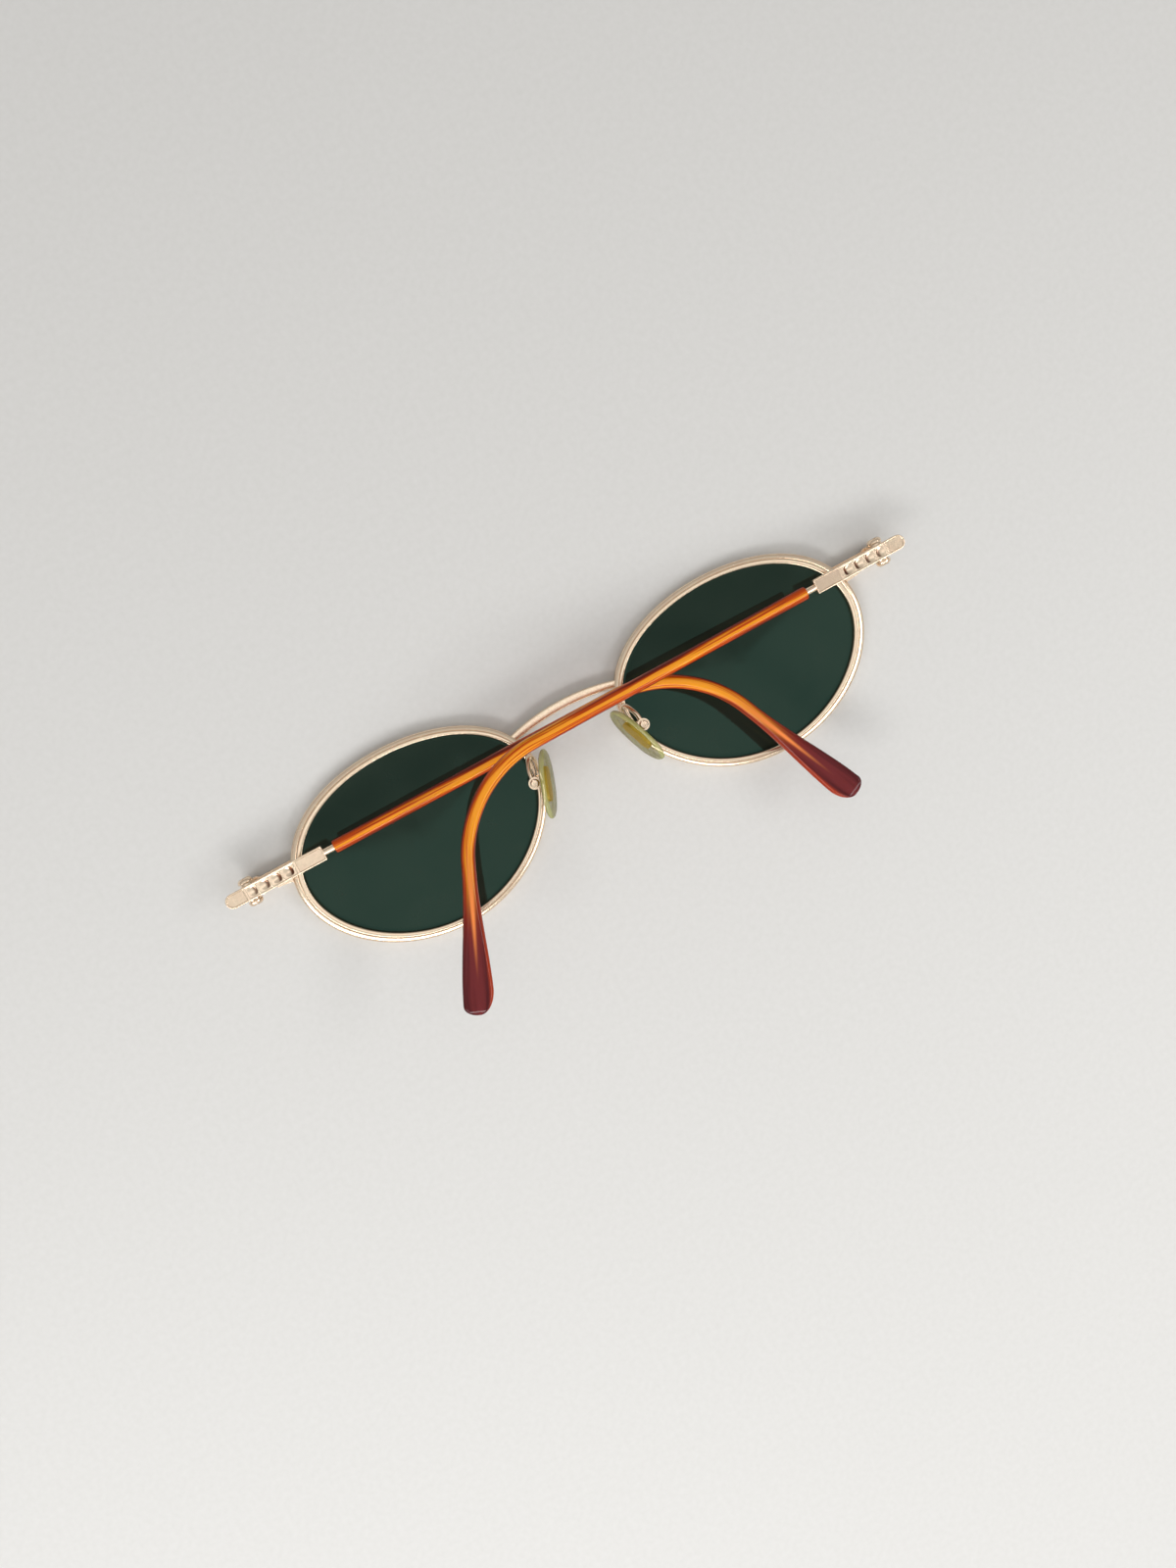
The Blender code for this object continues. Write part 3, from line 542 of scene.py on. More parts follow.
def rounded_bar(back: float, front: float, half: float, radius: float, count: int) -> list[Span]:
    """Draw a bar's cross-section with rounded corners.

    Args:
        back: How far it reaches to one side.
        front: How far it reaches to the other side.
        half: Half its thickness.
        radius: The corners' radius.
        count: How many points go round a corner.

    Returns:
        Points across the bar and through its thickness.
    """
    points = []
    for quarter in range(4):
        reach = back if quarter in (0, 3) else -front
        level = half if quarter < 2 else -half
        for i in range(count):
            turn = math.pi / 2 * (quarter + i / (count - 1))
            across = reach - math.copysign(radius, reach) + radius * math.cos(turn)
            up = level - math.copysign(radius, level) + radius * math.sin(turn)
            points.append((across, up))
    return points


def spline(points: Sequence[Vector], steps: int) -> list[Vector]:
    """Sample a clamped cubic B-spline.

    Args:
        points: The control points.
        steps: How many spans to sample.

    Returns:
        Points on the curve, from the first control point to the last.
    """
    degree, last = 3, len(points) - 1
    inner = last - degree
    ends = degree + 1
    knots = [0.0] * ends + [float(i + 1) for i in range(inner)] + [inner + 1.0] * ends
    result = []
    for step in range(steps + 1):
        at = (inner + 1) * step / steps
        span = min(degree + int(at), last)
        near = [points[span - degree + i].copy() for i in range(degree + 1)]
        for level in range(1, degree + 1):
            for i in range(degree, level - 1, -1):
                low = knots[span - degree + i]
                high = knots[span + 1 + i - level]
                near[i] = near[i - 1].lerp(near[i], (at - low) / (high - low))
        result.append(near[degree])
    return result


def open_tree(
    name: str, inputs: dict[str, str]
) -> tuple[NodeTree, Node, dict[str, str]]:
    """Start a geometry tree.

    Args:
        name: The tree's name.
        inputs: Names of the inputs beside the geometry, with the kind of each socket.

    Returns:
        The tree, its input node and the inputs' identifiers by name.
    """
    tree = bpy.data.node_groups.new(name, "GeometryNodeTree")
    tree.interface.new_socket("Geometry", in_out="INPUT", socket_type="NodeSocketGeometry")
    keys = {}
    for label, kind in inputs.items():
        socket = tree.interface.new_socket(label, in_out="INPUT", socket_type=kind)
        keys[label] = socket.identifier
    tree.interface.new_socket("Geometry", in_out="OUTPUT", socket_type="NodeSocketGeometry")
    return tree, tree.nodes.new("NodeGroupInput"), keys


def close_tree(
    tree: NodeTree, shape: NodeSocket, finish: NodeSocket
) -> None:
    """End a geometry tree in plain, dressed geometry.

    Args:
        tree: The tree to end.
        shape: The socket with the finished shape.
        finish: The socket with the material.
    """
    whole = add_node(tree, "GeometryNodeRealizeInstances", {"Geometry": shape})
    dressed = add_node(tree, "GeometryNodeSetMaterial", {
        "Geometry": whole.outputs["Geometry"], "Material": finish})
    add_node(tree, "NodeGroupOutput", {"Geometry": dressed.outputs["Geometry"]})


class WireTree:
    """Geometry tree that runs a round wire along a path."""

    def __init__(self) -> None:
        """Build the tree."""
        self.tree, source, self.keys = open_tree("round_wire", {
            "Radius": "NodeSocketFloat", "Sides": "NodeSocketInt", "Finish": "NodeSocketMaterial"})
        path = add_node(self.tree, "GeometryNodeMeshToCurve", {"Mesh": source.outputs["Geometry"]})
        round_ = add_node(self.tree, "GeometryNodeCurvePrimitiveCircle", {
            "Resolution": source.outputs["Sides"], "Radius": source.outputs["Radius"]})
        wire = add_node(self.tree, "GeometryNodeCurveToMesh", {
            "Curve": path.outputs["Curve"], "Profile Curve": round_.outputs["Curve"],
            "Fill Caps": True})
        close_tree(self.tree, wire.outputs["Mesh"], source.outputs["Finish"])


class ProfileTree:
    """Geometry tree that runs a cross-section along a level path."""

    def __init__(self) -> None:
        """Build the tree."""
        self.tree, source, self.keys = open_tree("profile_along_path", {
            "Profile": "NodeSocketObject", "Finish": "NodeSocketMaterial"})
        path = add_node(self.tree, "GeometryNodeMeshToCurve", {"Mesh": source.outputs["Geometry"]})
        level = add_node(
            self.tree, "GeometryNodeSetCurveNormal", {"Curve": path.outputs["Curve"]}, mode="Z_UP")
        section = add_node(
            self.tree, "GeometryNodeObjectInfo", {"Object": source.outputs["Profile"]})
        outline = add_node(
            self.tree, "GeometryNodeMeshToCurve", {"Mesh": section.outputs["Geometry"]})
        solid = add_node(self.tree, "GeometryNodeCurveToMesh", {
            "Curve": level.outputs["Curve"], "Profile Curve": outline.outputs["Curve"],
            "Fill Caps": True})
        close_tree(self.tree, solid.outputs["Mesh"], source.outputs["Finish"])


class RibTree:
    """Geometry tree that sets a growing row of ribs along X."""

    def __init__(self) -> None:
        """Build the tree."""
        self.tree, source, self.keys = open_tree("row_of_ribs", {
            "Count": "NodeSocketInt", "Start": "NodeSocketVector", "Step": "NodeSocketVector",
            "Growth": "NodeSocketFloat", "Finish": "NodeSocketMaterial"})
        row = add_node(self.tree, "GeometryNodeMeshLine", {
            "Count": source.outputs["Count"], "Start Location": source.outputs["Start"],
            "Offset": source.outputs["Step"]})
        number = add_node(self.tree, "GeometryNodeInputIndex")
        larger = add_node(self.tree, "ShaderNodeMath", {
            0: number.outputs["Index"], 1: source.outputs["Growth"], 2: 1.0},
            operation="MULTIPLY_ADD")
        ribs = add_node(self.tree, "GeometryNodeInstanceOnPoints", {
            "Points": row.outputs["Mesh"], "Instance": source.outputs["Geometry"],
            "Scale": larger.outputs["Value"]})
        close_tree(self.tree, ribs.outputs["Instances"], source.outputs["Finish"])


def grow(piece: Object, maker: Any, **values: Any) -> None:
    """Run a geometry tree on a piece and keep the plain mesh.

    Args:
        piece: The piece that holds the tree's starting geometry.
        maker: A WireTree, ProfileTree or RibTree.
        values: The tree's inputs by name.
    """
    modifier = piece.modifiers.new(maker.tree.name, "NODES")
    modifier.node_group = maker.tree
    for label, value in values.items():
        modifier[maker.keys[label]] = value
    settle(piece)
    soften(piece.data)


def path_mesh(points: Sequence[Sequence[float]], closed: bool = False) -> Mesh:
    """Make a mesh of edges along a path.

    Args:
        points: The path's points.
        closed: Whether the last point joins the first.

    Returns:
        The mesh.
    """
    edges = [(i, i + 1) for i in range(len(points) - 1)]
    if closed:
        edges.append((len(points) - 1, 0))
    mesh = bpy.data.meshes.new("path")
    mesh.from_pydata([tuple(point) for point in points], edges, [])
    return mesh


@dataclass
class Workshop:
    """What all the sub-assemblies share: finishes, geometry trees and the fitting of pieces."""

    finishes: dict[Slot, Material] = field(default_factory=dict)
    wires: WireTree = field(default_factory=WireTree)
    profiles: ProfileTree = field(default_factory=ProfileTree)
    ribs: RibTree = field(default_factory=RibTree)
    flat_angle: float = math.radians(1.0)

    def __post_init__(self) -> None:
        """Make the finishes, one for each slot."""
        self.finishes = {
            Slot.GOLD: GoldPlate().material(), Slot.LENS: TintedLens().material(),
            Slot.SLEEVE: AmberAcetate().material(), Slot.PAD: ClearPad().material()}

    def fit(
        self, piece: Object, body: str, slot: Slot, *nodes: str,
        finish: Material | None = None
    ) -> None:
        """Finish a piece and fix it to a body.

        Args:
            piece: The piece, in place.
            body: The body that carries it.
            slot: Its material slot.
            nodes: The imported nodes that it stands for.
            finish: A finish other than the slot's own.
        """
        piece.data.materials.clear()
        piece.data.materials.append(finish or self.finishes[slot])
        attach(piece, body)
        if nodes:
            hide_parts(*nodes)
        LOG.info("%s on %s: %d faces", piece.name, body, len(piece.data.polygons))

    def machine(
        self, node: str, body: str, radius: float = 0.08 * MM,
        finish: Material | None = None
    ) -> None:
        """Copy a packed gold node, weld it and round its edges over.

        Args:
            node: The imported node.
            body: The body that carries it.
            radius: How far the edges are rounded.
            finish: A finish other than the usual gold plate.
        """
        work = bmesh.new()
        work.from_mesh(frame["nodes"][node].data)
        bmesh.ops.remove_doubles(work, verts=work.verts, dist=WELD)
        bmesh.ops.dissolve_limit(
            work, angle_limit=self.flat_angle, verts=work.verts, edges=work.edges)
        mesh = bpy.data.meshes.new(node + "_polished")
        work.to_mesh(mesh)
        work.free()
        mesh.shade_smooth()
        piece = new_piece(mesh.name, mesh)
        bevel = piece.modifiers.new("edge", "BEVEL")
        bevel.width = radius
        bevel.segments = 3
        bevel.limit_method = "ANGLE"
        bevel.angle_limit = SHARP_EDGE
        piece.modifiers.new("even_shading", "WEIGHTED_NORMAL").weight = 100
        settle(piece)
        self.fit(piece, body, Slot.GOLD, node, finish=finish)


@dataclass
class Front:
    """The rims, the lenses, the bridge and what is soldered to them."""

    shop: Workshop
    opening_width: float = 48.1 * MM
    opening_height: float = 34.7 * MM
    brow_fullness: float = 0.08
    nose_fullness: float = 0.05
    rim_width: float = 1.7 * MM
    rim_depth: float = 2.6 * MM
    rim_flare: float = 0.35 * MM
    rim_lip: float = 0.15 * MM
    split_top: float = 5.95 * MM
    split_low: float = 5.65 * MM
    groove_depth: float = 0.6 * MM
    # Where the painted shade line runs along the rim's back groove, and how dark it is.
    groove_line: float = 0.8 * MM
    groove_shade: float = 0.38
    lens_play: float = 0.05 * MM
    lens_thickness: float = 1.0 * MM
    lens_dome: float = 0.45 * MM
    lug_edge: float = 0.18 * MM
    bridge_width: float = 1.8 * MM
    bridge_thickness: float = 1.6 * MM
    bridge_height: float = 8.0 * MM
    bridge_rise: float = 1.9 * MM
    bridge_edge: float = 0.28 * MM
    bridge_slimming: float = 0.16
    bridge_overlap: float = 0.6
    bridge_corner: int = 6
    bridge_steps: int = 72
    rim_steps: int = 240
    lens_sides: int = 120
    lens_rings: int = 12

    @property
    def middle(self) -> Vector:
        """The point midway between the lens centres, on the table."""
        boxes = [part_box(side.label + "_lens") for side in Side]
        centres = [(low + high) / 2 for low, high in boxes]
        middle = (centres[0] + centres[1]) / 2
        return Vector((middle.x, middle.y, 0.0))

    @property
    def lens_x(self) -> float:
        """How far a lens centre stands from the middle."""
        low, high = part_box("right_lens")
        left_low, left_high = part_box("left_lens")
        return ((low.x + high.x) - (left_low.x + left_high.x)) / 4

    def lens_place(self, side: Side) -> Matrix:
        """Give the matrix from a right-hand lens centre to a side's own."""
        out = Matrix.Translation((self.lens_x, 0, 0))
        return Matrix.Translation(self.middle) @ side.mirror @ out

    def opening_point(self, angle: float, offset: float) -> Vector:
        """Find a point of the right lens opening's outline.

        Args:
            angle: Angle round the opening.
            offset: How far the point is moved out.

        Returns:
            The point, seen from the lens centre.
        """
        half_width, half_height = self.opening_width / 2, self.opening_height / 2
        cosine, sine = math.cos(angle), math.sin(angle)
        full = self.brow_fullness + self.nose_fullness * (1 - cosine) / 2
        widen = 1 + full * sine
        x = half_width * cosine * widen
        y = half_height * sine
        change = full * cosine + self.nose_fullness * sine * sine / 2
        slope_x = half_width * (cosine * change - sine * widen)
        slope_y = half_height * cosine
        length = math.hypot(slope_x, slope_y)
        return Vector((x + offset * slope_y / length, y - offset * slope_x / length, 0.0))

    def split_angle(self, height: float) -> float:
        """Find where the rim's temple side reaches a height.

        Args:
            height: Height above the lens centre.

        Returns:
            The angle round the opening.
        """
        low, high = -math.pi / 2, math.pi / 2
        for _ in range(50):
            middle = (low + high) / 2
            if self.opening_point(middle, self.rim_width).y < height:
                low = middle
            else:
                high = middle
        return low

    def rim_profile(self) -> list[tuple[float, float]]:
        """Draw the rim's cross-section, with the bead round the lens and the outer band.

        Returns:
            Points out from the opening and up from the table, drawn in millimetres.
        """
        mid, groove = self.rim_depth / 2 / MM, self.groove_depth / MM
        front = [(0.55, 0.0), (1.15, 0.0), (1.38, 0.05), (1.56, 0.2), (1.66, 0.42), (1.7, 0.7)]
        back = [(1.7, 1.6), (1.69, 1.88), (1.64, 2.08), (1.54, 2.25), (1.4, 2.36), (1.22, 2.44),
                (0.98, 2.52), (0.9, 2.53), (0.85, 2.5), (0.8, 2.42), (0.75, 2.5), (0.7, 2.56),
                (0.62, 2.58), (0.24, 2.59), (0.12, 2.56), (0.04, 2.49), (0.0, 2.38)]
        wall = [(0.0, mid + 0.55), (groove, mid + 0.25), (groove, mid - 0.25), (0.0, mid - 0.55)]
        inner = [(0.0, 0.5), (0.05, 0.28), (0.18, 0.1), (0.36, 0.02)]
        return [(x * MM, z * MM) for x, z in front + back + wall + inner]

    def widen_rim(self, mesh: Mesh) -> None:
        """Spread the rim's band on the temple side, where it is broadest.

        Args:
            mesh: A right-hand rim about the lens centre, with its "spread" attribute.
        """
        half_width, half_height = self.opening_width / 2, self.opening_height / 2
        for vertex, spread in zip(mesh.vertices, mesh.attributes["spread"].data):
            out = Vector((vertex.co.x / half_width ** 2, vertex.co.y / half_height ** 2, 0.0))
            temple = smooth_step(vertex.co.x / half_width)
            vertex.co += out.normalized() * spread.value * temple

    def build_rim(self, side: Side) -> None:
        """Sweep the cross-section round the opening and leave it open at the closing block.

        Args:
            side: The side to build.
        """
        first = self.split_angle(self.split_top)
        last = self.split_angle(self.split_low) + 2 * math.pi
        path = [
            self.opening_point(first + (last - first) * i / self.rim_steps, 0.0)
            for i in range(self.rim_steps + 1)]
        profile, middle = self.rim_profile(), self.rim_depth / 2
        outline = [(x, -z, 0.0) for x, z in profile]
        section = new_piece("rim_section", path_mesh(outline, closed=True))
        # Painted shade: points in the rim's back groove get a darker mark for the gold's finish; the
        # spread widens the band on the temple side.
        marks = {
            "hollow": [self.groove_shade * (abs(x - self.groove_line) < WELD and z > middle)
                       for x, z in profile],
            "spread": [(self.rim_flare + self.rim_lip) * x / self.rim_width - self.rim_lip
                       for x, _ in profile]}
        for label, values in marks.items():
            mark(section.data, label, values)
        rim = new_piece(side.label + "_eyewire", path_mesh(path))
        grow(rim, self.shop.profiles, Profile=section, Finish=self.shop.finishes[Slot.GOLD])
        bpy.data.objects.remove(section, do_unlink=True)
        self.widen_rim(rim.data)
        put(rim.data, self.lens_place(side))
        self.shop.fit(rim, "front", Slot.GOLD, side.label + "_rim")

    def build_lens(self, side: Side) -> None:
        """Skin a dished lens with a bevelled edge.

        Args:
            side: The side to build.
        """
        reach = self.groove_depth - self.lens_play
        mid, half = self.rim_depth / 2, self.lens_thickness / 2
        bevel = 1 - self.groove_depth / (self.opening_height / 2)
        last = self.lens_rings - 1
        shares = [0.99 * bevel * (i + 0.15) / (last + 0.15) for i in range(last + 1)] + [bevel]
        rows = [(share, mid - half) for share in shares] + [(1.0, mid - half / 3)]
        rows += [(1.0, mid + half / 3)] + [(share, mid + half) for share in reversed(shares)]
        rings = []
        for share, height in rows:
            dome = self.lens_dome * (1 - (share / bevel) ** 2) if share < bevel else 0.0
            ring = []
            for i in range(self.lens_sides):
                point = self.opening_point(2 * math.pi * i / self.lens_sides, reach) * share
                ring.append((point.x, point.y, height - dome))
            rings.append(ring)
        lens = new_piece(side.label + "_tinted_lens", skin(rings))
        put(lens.data, self.lens_place(side))
        self.shop.fit(lens, "front", Slot.LENS, side.label + "_lens")

    def bridge_end(self) -> float:
        """Find how far out the bridge's centre line runs into the rim's outer wall."""
        angle = math.pi - math.asin(self.bridge_height / (self.opening_height / 2))
        return self.lens_x + self.opening_point(angle, self.rim_width * self.bridge_overlap).x

    def build_bridge(self) -> None:
        """Loft the arched bar, flat on its back, with rounded edges and slimmer ends."""
        reach = self.lens_x - self.opening_width / 2 + self.rim_width
        radius = (reach ** 2 + self.bridge_rise ** 2) / (2 * self.bridge_rise)
        centre_y = self.bridge_height + self.bridge_rise - radius
        span = math.asin(self.bridge_end() / radius)
        edge, deep = self.bridge_edge, self.bridge_thickness / 2
        rings = []
        for step in range(self.bridge_steps + 1):
            share = 2 * step / self.bridge_steps - 1
            turn = span * share
            outward = Vector((math.sin(turn), math.cos(turn), 0.0))
            half = self.bridge_width / 2 * (1 - self.bridge_slimming * abs(share) ** 3)
            ring = []
            for flat, rise in rounded_bar(half, half, deep, edge, self.bridge_corner):
                lift = Vector((0, centre_y, self.rim_depth / 2 + rise))
                ring.append(outward * (radius + flat) + lift)
            rings.append(ring)
        bridge = new_piece("arched_bridge", skin(rings))
        put(bridge.data, Matrix.Translation(self.middle))
        self.shop.fit(bridge, "front", Slot.GOLD, "bridge")

    def build(self) -> None:
        """Build the whole front."""
        for side in Side:
            self.build_rim(side)
            self.build_lens(side)
            for label in ("end_piece", "closing_block", "closing_screw"):
                self.shop.machine(f"{side.label}_{label}", "front", self.lug_edge)
        self.build_bridge()


@dataclass
class Hinges:
    """The forks, pins and cap nuts that carry the temples."""

    shop: Workshop

    def build(self) -> None:
        """Polish each hinge piece."""
        for side in Side:
            for label in ("hinge_fork", "hinge_screw", "hinge_nut"):
                self.shop.machine(f"{side.label}_{label}", "front")
            self.shop.machine(side.label + "_temple_knuckle", side.label + "_temple")


@dataclass
class NosePads:
    """The pad arms, boxes, screws and inserts, and the soft pads."""

    shop: Workshop
    front: Front
    insert_finish: GoldPlate = GoldPlate(
        name="satin_brass_insert", light="#f8d158", rosy="#e3ae2c", smoothest=0.4, dullest=0.55)
    arm_diameter: float = 0.94 * MM
    arm_foot: float = 0.3 * MM
    arm_loop: float = 4.3 * MM
    arm_sides: int = 20
    arm_steps: int = 60
    arm_shape: tuple[tuple[float, float, float], ...] = (
        (0.0, 0.0, 0.0), (0.0, 0.02, 0.12), (-0.25, 0.22, 0.24), (-0.45, 0.55, 0.36),
        (-0.38, 0.85, 0.48), (-0.05, 1.0, 0.62), (0.33, 0.9, 0.76), (0.6, 0.65, 0.88))
    pad_length: float = 13.3 * MM
    pad_width: float = 7.0 * MM
    pad_thickness: float = 2.0 * MM
    pad_tilt: float = math.radians(19.8)
    pad_splay: float = math.radians(19.0)
    pad_squareness: float = 0.85
    pad_standoff: float = 2.8 * MM
    pad_rise: float = 0.8 * MM
    pad_drop: float = 0.4 * MM
    pad_rings: int = 40
    pad_sides: int = 64

    def box_centre(self) -> Vector:
        """Find the right pad box's centre, seen from the middle of the front."""
        low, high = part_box("right_pad_box")
        return (low + high) / 2 - self.front.middle

    def build_arm(self, side: Side) -> None:
        """Bend a wire from the back of the rim round its loop to the pad box.

        Args:
            side: The side to build.
        """
        nasal = self.front.lens_x - self.front.opening_width / 2
        foot = Vector((nasal - self.front.rim_width / 2, self.arm_foot, self.front.rim_depth))
        low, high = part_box("right_pad_box")
        end = self.box_centre() + Vector((0, (high.y - low.y) / 2, 0))
        span, loop, lift = end.x - foot.x, self.arm_loop - self.arm_foot, end.z - foot.z
        bends = [foot + Vector((x * span, y * loop, z * lift)) for x, y, z in self.arm_shape]
        root = foot - Vector((0, 0, self.arm_diameter / 2))
        inside = end - Vector((0, self.arm_diameter / 4, 0))
        points = [root, *bends, end + Vector((0, self.arm_diameter, 0)), inside]
        arm = new_piece(side.label + "_bent_pad_arm", path_mesh(spline(points, self.arm_steps)))
        grow(arm, self.shop.wires, Radius=self.arm_diameter / 2, Sides=self.arm_sides,
             Finish=self.shop.finishes[Slot.GOLD])
        put(arm.data, Matrix.Translation(self.front.middle) @ side.mirror)
        self.shop.fit(arm, "front", Slot.GOLD, side.label + "_pad_arm")

    def stretch(self, value: float, size: float) -> float:
        """Square a sine or cosine slightly and bring it to half a size."""
        return math.copysign(abs(value) ** self.pad_squareness, value) * size / 2

    def build_pad(self, side: Side) -> None:
        """Shape a soft pad, flattened and slightly squared.

        Args:
            side: The side to build.
        """
        along = Vector((math.sin(self.pad_tilt), -math.cos(self.pad_tilt), 0.0))
        outward = Vector((math.cos(self.pad_tilt), math.sin(self.pad_tilt), 0.0))
        up = Vector((0, 0, 1))
        face = up * math.sin(self.pad_splay) - outward * math.cos(self.pad_splay)
        across = up * math.cos(self.pad_splay) + outward * math.sin(self.pad_splay)
        centre = self.box_centre() + face * self.pad_standoff
        centre += across * self.pad_rise + along * self.pad_drop
        rings, rim = [], []
        for row in range(1, self.pad_rings):
            polar = math.pi * row / self.pad_rings
            ring = []
            for i in range(self.pad_sides):
                turn = 2 * math.pi * i / self.pad_sides
                level = self.stretch(math.cos(polar), self.pad_length)
                wide = self.stretch(math.sin(polar) * math.cos(turn), self.pad_width)
                thick = self.stretch(math.sin(polar) * math.sin(turn), self.pad_thickness)
                ring.append(centre + along * level + across * wide + face * thick)
                rim.append(2 * math.hypot(level / self.pad_length, wide / self.pad_width))
            rings.append(ring)
        pad = new_piece(side.label + "_soft_pad", skin(rings))
        mark(pad.data, "rim", rim)
        put(pad.data, Matrix.Translation(self.front.middle) @ side.mirror)
        self.shop.fit(pad, side.label + "_pad", Slot.PAD, side.label + "_nose_pad")

    def build(self) -> None:
        """Build both nose pads with their arms."""
        brass = self.insert_finish.material()
        for side in Side:
            self.build_arm(side)
            self.build_pad(side)
            for label in ("pad_box", "pad_screw"):
                self.shop.machine(f"{side.label}_{label}", "front")
            self.shop.machine(side.label + "_pad_insert", side.label + "_pad", finish=brass)


@dataclass
class Temple:
    """One temple: the ornamented plate, the core wire and the amber sleeve."""

    shop: Workshop
    side: Side
    plate_inner: float = -16.15 * MM
    plate_outer: float = 4.45 * MM
    plate_width: float = 2.86 * MM
    plate_low: float = 1.7 * MM
    plate_top: float = 3.0 * MM
    plate_edge: float = 0.14 * MM
    plate_corner: float = 0.3 * MM
    border: float = 0.27 * MM
    wall: float = 0.12 * MM
    panel_depth: float = 0.12 * MM
    row_depth: float = 0.08 * MM
    end_bar: float = 0.2 * MM
    inner_bar: float = -10.25 * MM
    bar_half: float = 0.17 * MM
    scoop_first: float = -1.1 * MM
    scoop_step: float = -2.53 * MM
    scoop_count: int = 4
    scoop_length: float = 1.9 * MM
    scoop_width: float = 1.85 * MM
    scoop_depth: float = 0.14 * MM
    scoop_growth: float = 0.05 * MM
    scoop_wall: float = 4.0
    scoop_slope: float = 2.0
    scoop_round: float = 2.4
    # How far the painted shade on each scoop's steep wall reaches, and how soft its edge is.
    shade_reach: float = 2.0
    shade_edge: float = 3.0
    scoop_lean: float = 0.6
    # How much weaker the painted shade is in scoops nearer the hinge, and how dark the painted shade
    # over the recessed panels is.
    scoop_fade: float = 0.08
    panel_shade: float = 0.13
    rib_radius: float = 0.13 * MM
    rib_bow: float = 0.22 * MM
    core_diameter: float = 1.3 * MM
    core_start: float = 16.0 * MM
    core_end: float = 119.0 * MM
    sleeve_start: float = 18.25 * MM
    sleeve_width: float = 2.6 * MM
    sleeve_thickness: float = 2.4 * MM
    bend_start: float = 77.7 * MM
    bend_radius: float = 22.8 * MM
    bend_angle: float = math.radians(65.6)
    ear_length: float = 27.4 * MM
    tip_width: float = 5.7 * MM
    tip_thickness: float = 1.75 * MM
    tip_flare: float = 24.0 * MM
    tip_back_round: float = 1.8 * MM
    tip_front_round: float = 4.8 * MM
    tip_end_round: float = 1.9 * MM
    tip_shoulder: float = 0.8
    shoulder_points: int = 12
    mouth_round: float = 0.3 * MM
    mouth_shrink: float = 0.16
    mouth_steps: int = 5
    bar_steps: int = 24
    bend_steps: int = 48
    ear_steps: int = 64
    end_gap: float = 0.01 * MM
    plate_steps: int = 300
    plate_points: int = 60
    plate_end_steps: int = 60
    plate_tail: float = 0.004 * MM
    rib_steps: int = 16
    rib_sides: int = 10
    rib_growth: float = 0.02
    core_steps: int = 120
    core_sides: int = 24
    right_fold: float = math.radians(7.0)
    left_fold: float = math.radians(2.0)

    @property
    def fold(self) -> float:
        """How far this folded temple lies up from the front."""
        return self.right_fold if self.side is Side.RIGHT else self.left_fold

    @property
    def lift(self) -> float:
        """How far the temple's centre line lies above the hinge pin."""
        return (self.plate_low + self.plate_top) / 2

    @property
    def length(self) -> float:
        """The temple's whole length from the hinge along its curve."""
        return self.bend_start + self.bend_radius * self.bend_angle + self.ear_length

    @property
    def body(self) -> str:
        """The body that carries this temple."""
        return self.side.label + "_temple"

    def place(self) -> Matrix:
        """Return the matrix from the right-hand hinge's own space to this temple's place."""
        joint = next(j for j in frame["joints"] if j["child"] == self.body)
        turn = Matrix.Rotation(self.side.value * self.fold, 4, "Y")
        return Matrix.Translation(joint["pos_m"]) @ turn @ self.side.mirror

    def half_width(self, x: float) -> float:
        """Give the plate's half width.

        Args:
            x: Distance out from the hinge.

        Returns:
            The half width there.
        """
        half, corner = self.plate_width / 2, self.plate_corner
        past = x - (self.plate_outer - half)
        if past > 0:
            return math.sqrt(max(half * half - past * past, 0.0))
        short = self.plate_inner + corner - x
        if short > 0:
            return half - corner + math.sqrt(max(corner * corner - short * short, 0.0))
        return half

    def plate_relief(self, x: float, y: float) -> tuple[float, float]:
        """Give the relief of the plate's face, with its border, panels, bars and scoops.

        Args:
            x: Distance out from the hinge.
            y: Distance across the plate.

        Returns:
            The height above the hinge pin, and how much painted shade darkens the metal there.
        """
        half = self.plate_width / 2
        past = max(x - (self.plate_outer - half), 0.0)
        inset = min(half - math.hypot(past, y), x - self.plate_inner)
        drop = 0.0
        if inset < self.plate_edge:
            short = (self.plate_edge - max(inset, 0.0)) / self.plate_edge
            drop += self.plate_edge * (1 - math.sqrt(max(1 - short * short, 0.0)))
        inside = smooth_step((inset - self.border) / self.wall)
        for bar in (self.end_bar, self.inner_bar):
            inside *= smooth_step((abs(x - bar) - self.bar_half) / self.wall)
        in_row = self.inner_bar < x < self.end_bar
        drop += inside * (self.row_depth if in_row else self.panel_depth)
        # Painted shade: a light one over the recessed panels, none in the row of scoops.
        shade = 0.0 if in_row else inside * self.panel_shade
        for i in range(self.scoop_count):
            along = (x - self.scoop_first - i * self.scoop_step) / (self.scoop_length / 2)
            across = abs(y) / (self.scoop_width / 2)
            steepness = self.scoop_wall if along < 0 else self.scoop_slope
            bowl = 1 - abs(along) ** steepness - across ** self.scoop_round
            if bowl > 0:
                depth = self.scoop_depth + i * self.scoop_growth
                drop += depth * bowl * (1 - self.scoop_lean * along)
                # Painted shade on the steep wall of each scoop, weaker towards the hinge.
                steep = smooth_step(-self.shade_reach * along) * smooth_step(self.shade_edge * bowl)
                shade = steep * (1 - self.scoop_fade * (self.scoop_count - 1 - i))
        return self.plate_top - drop, shade

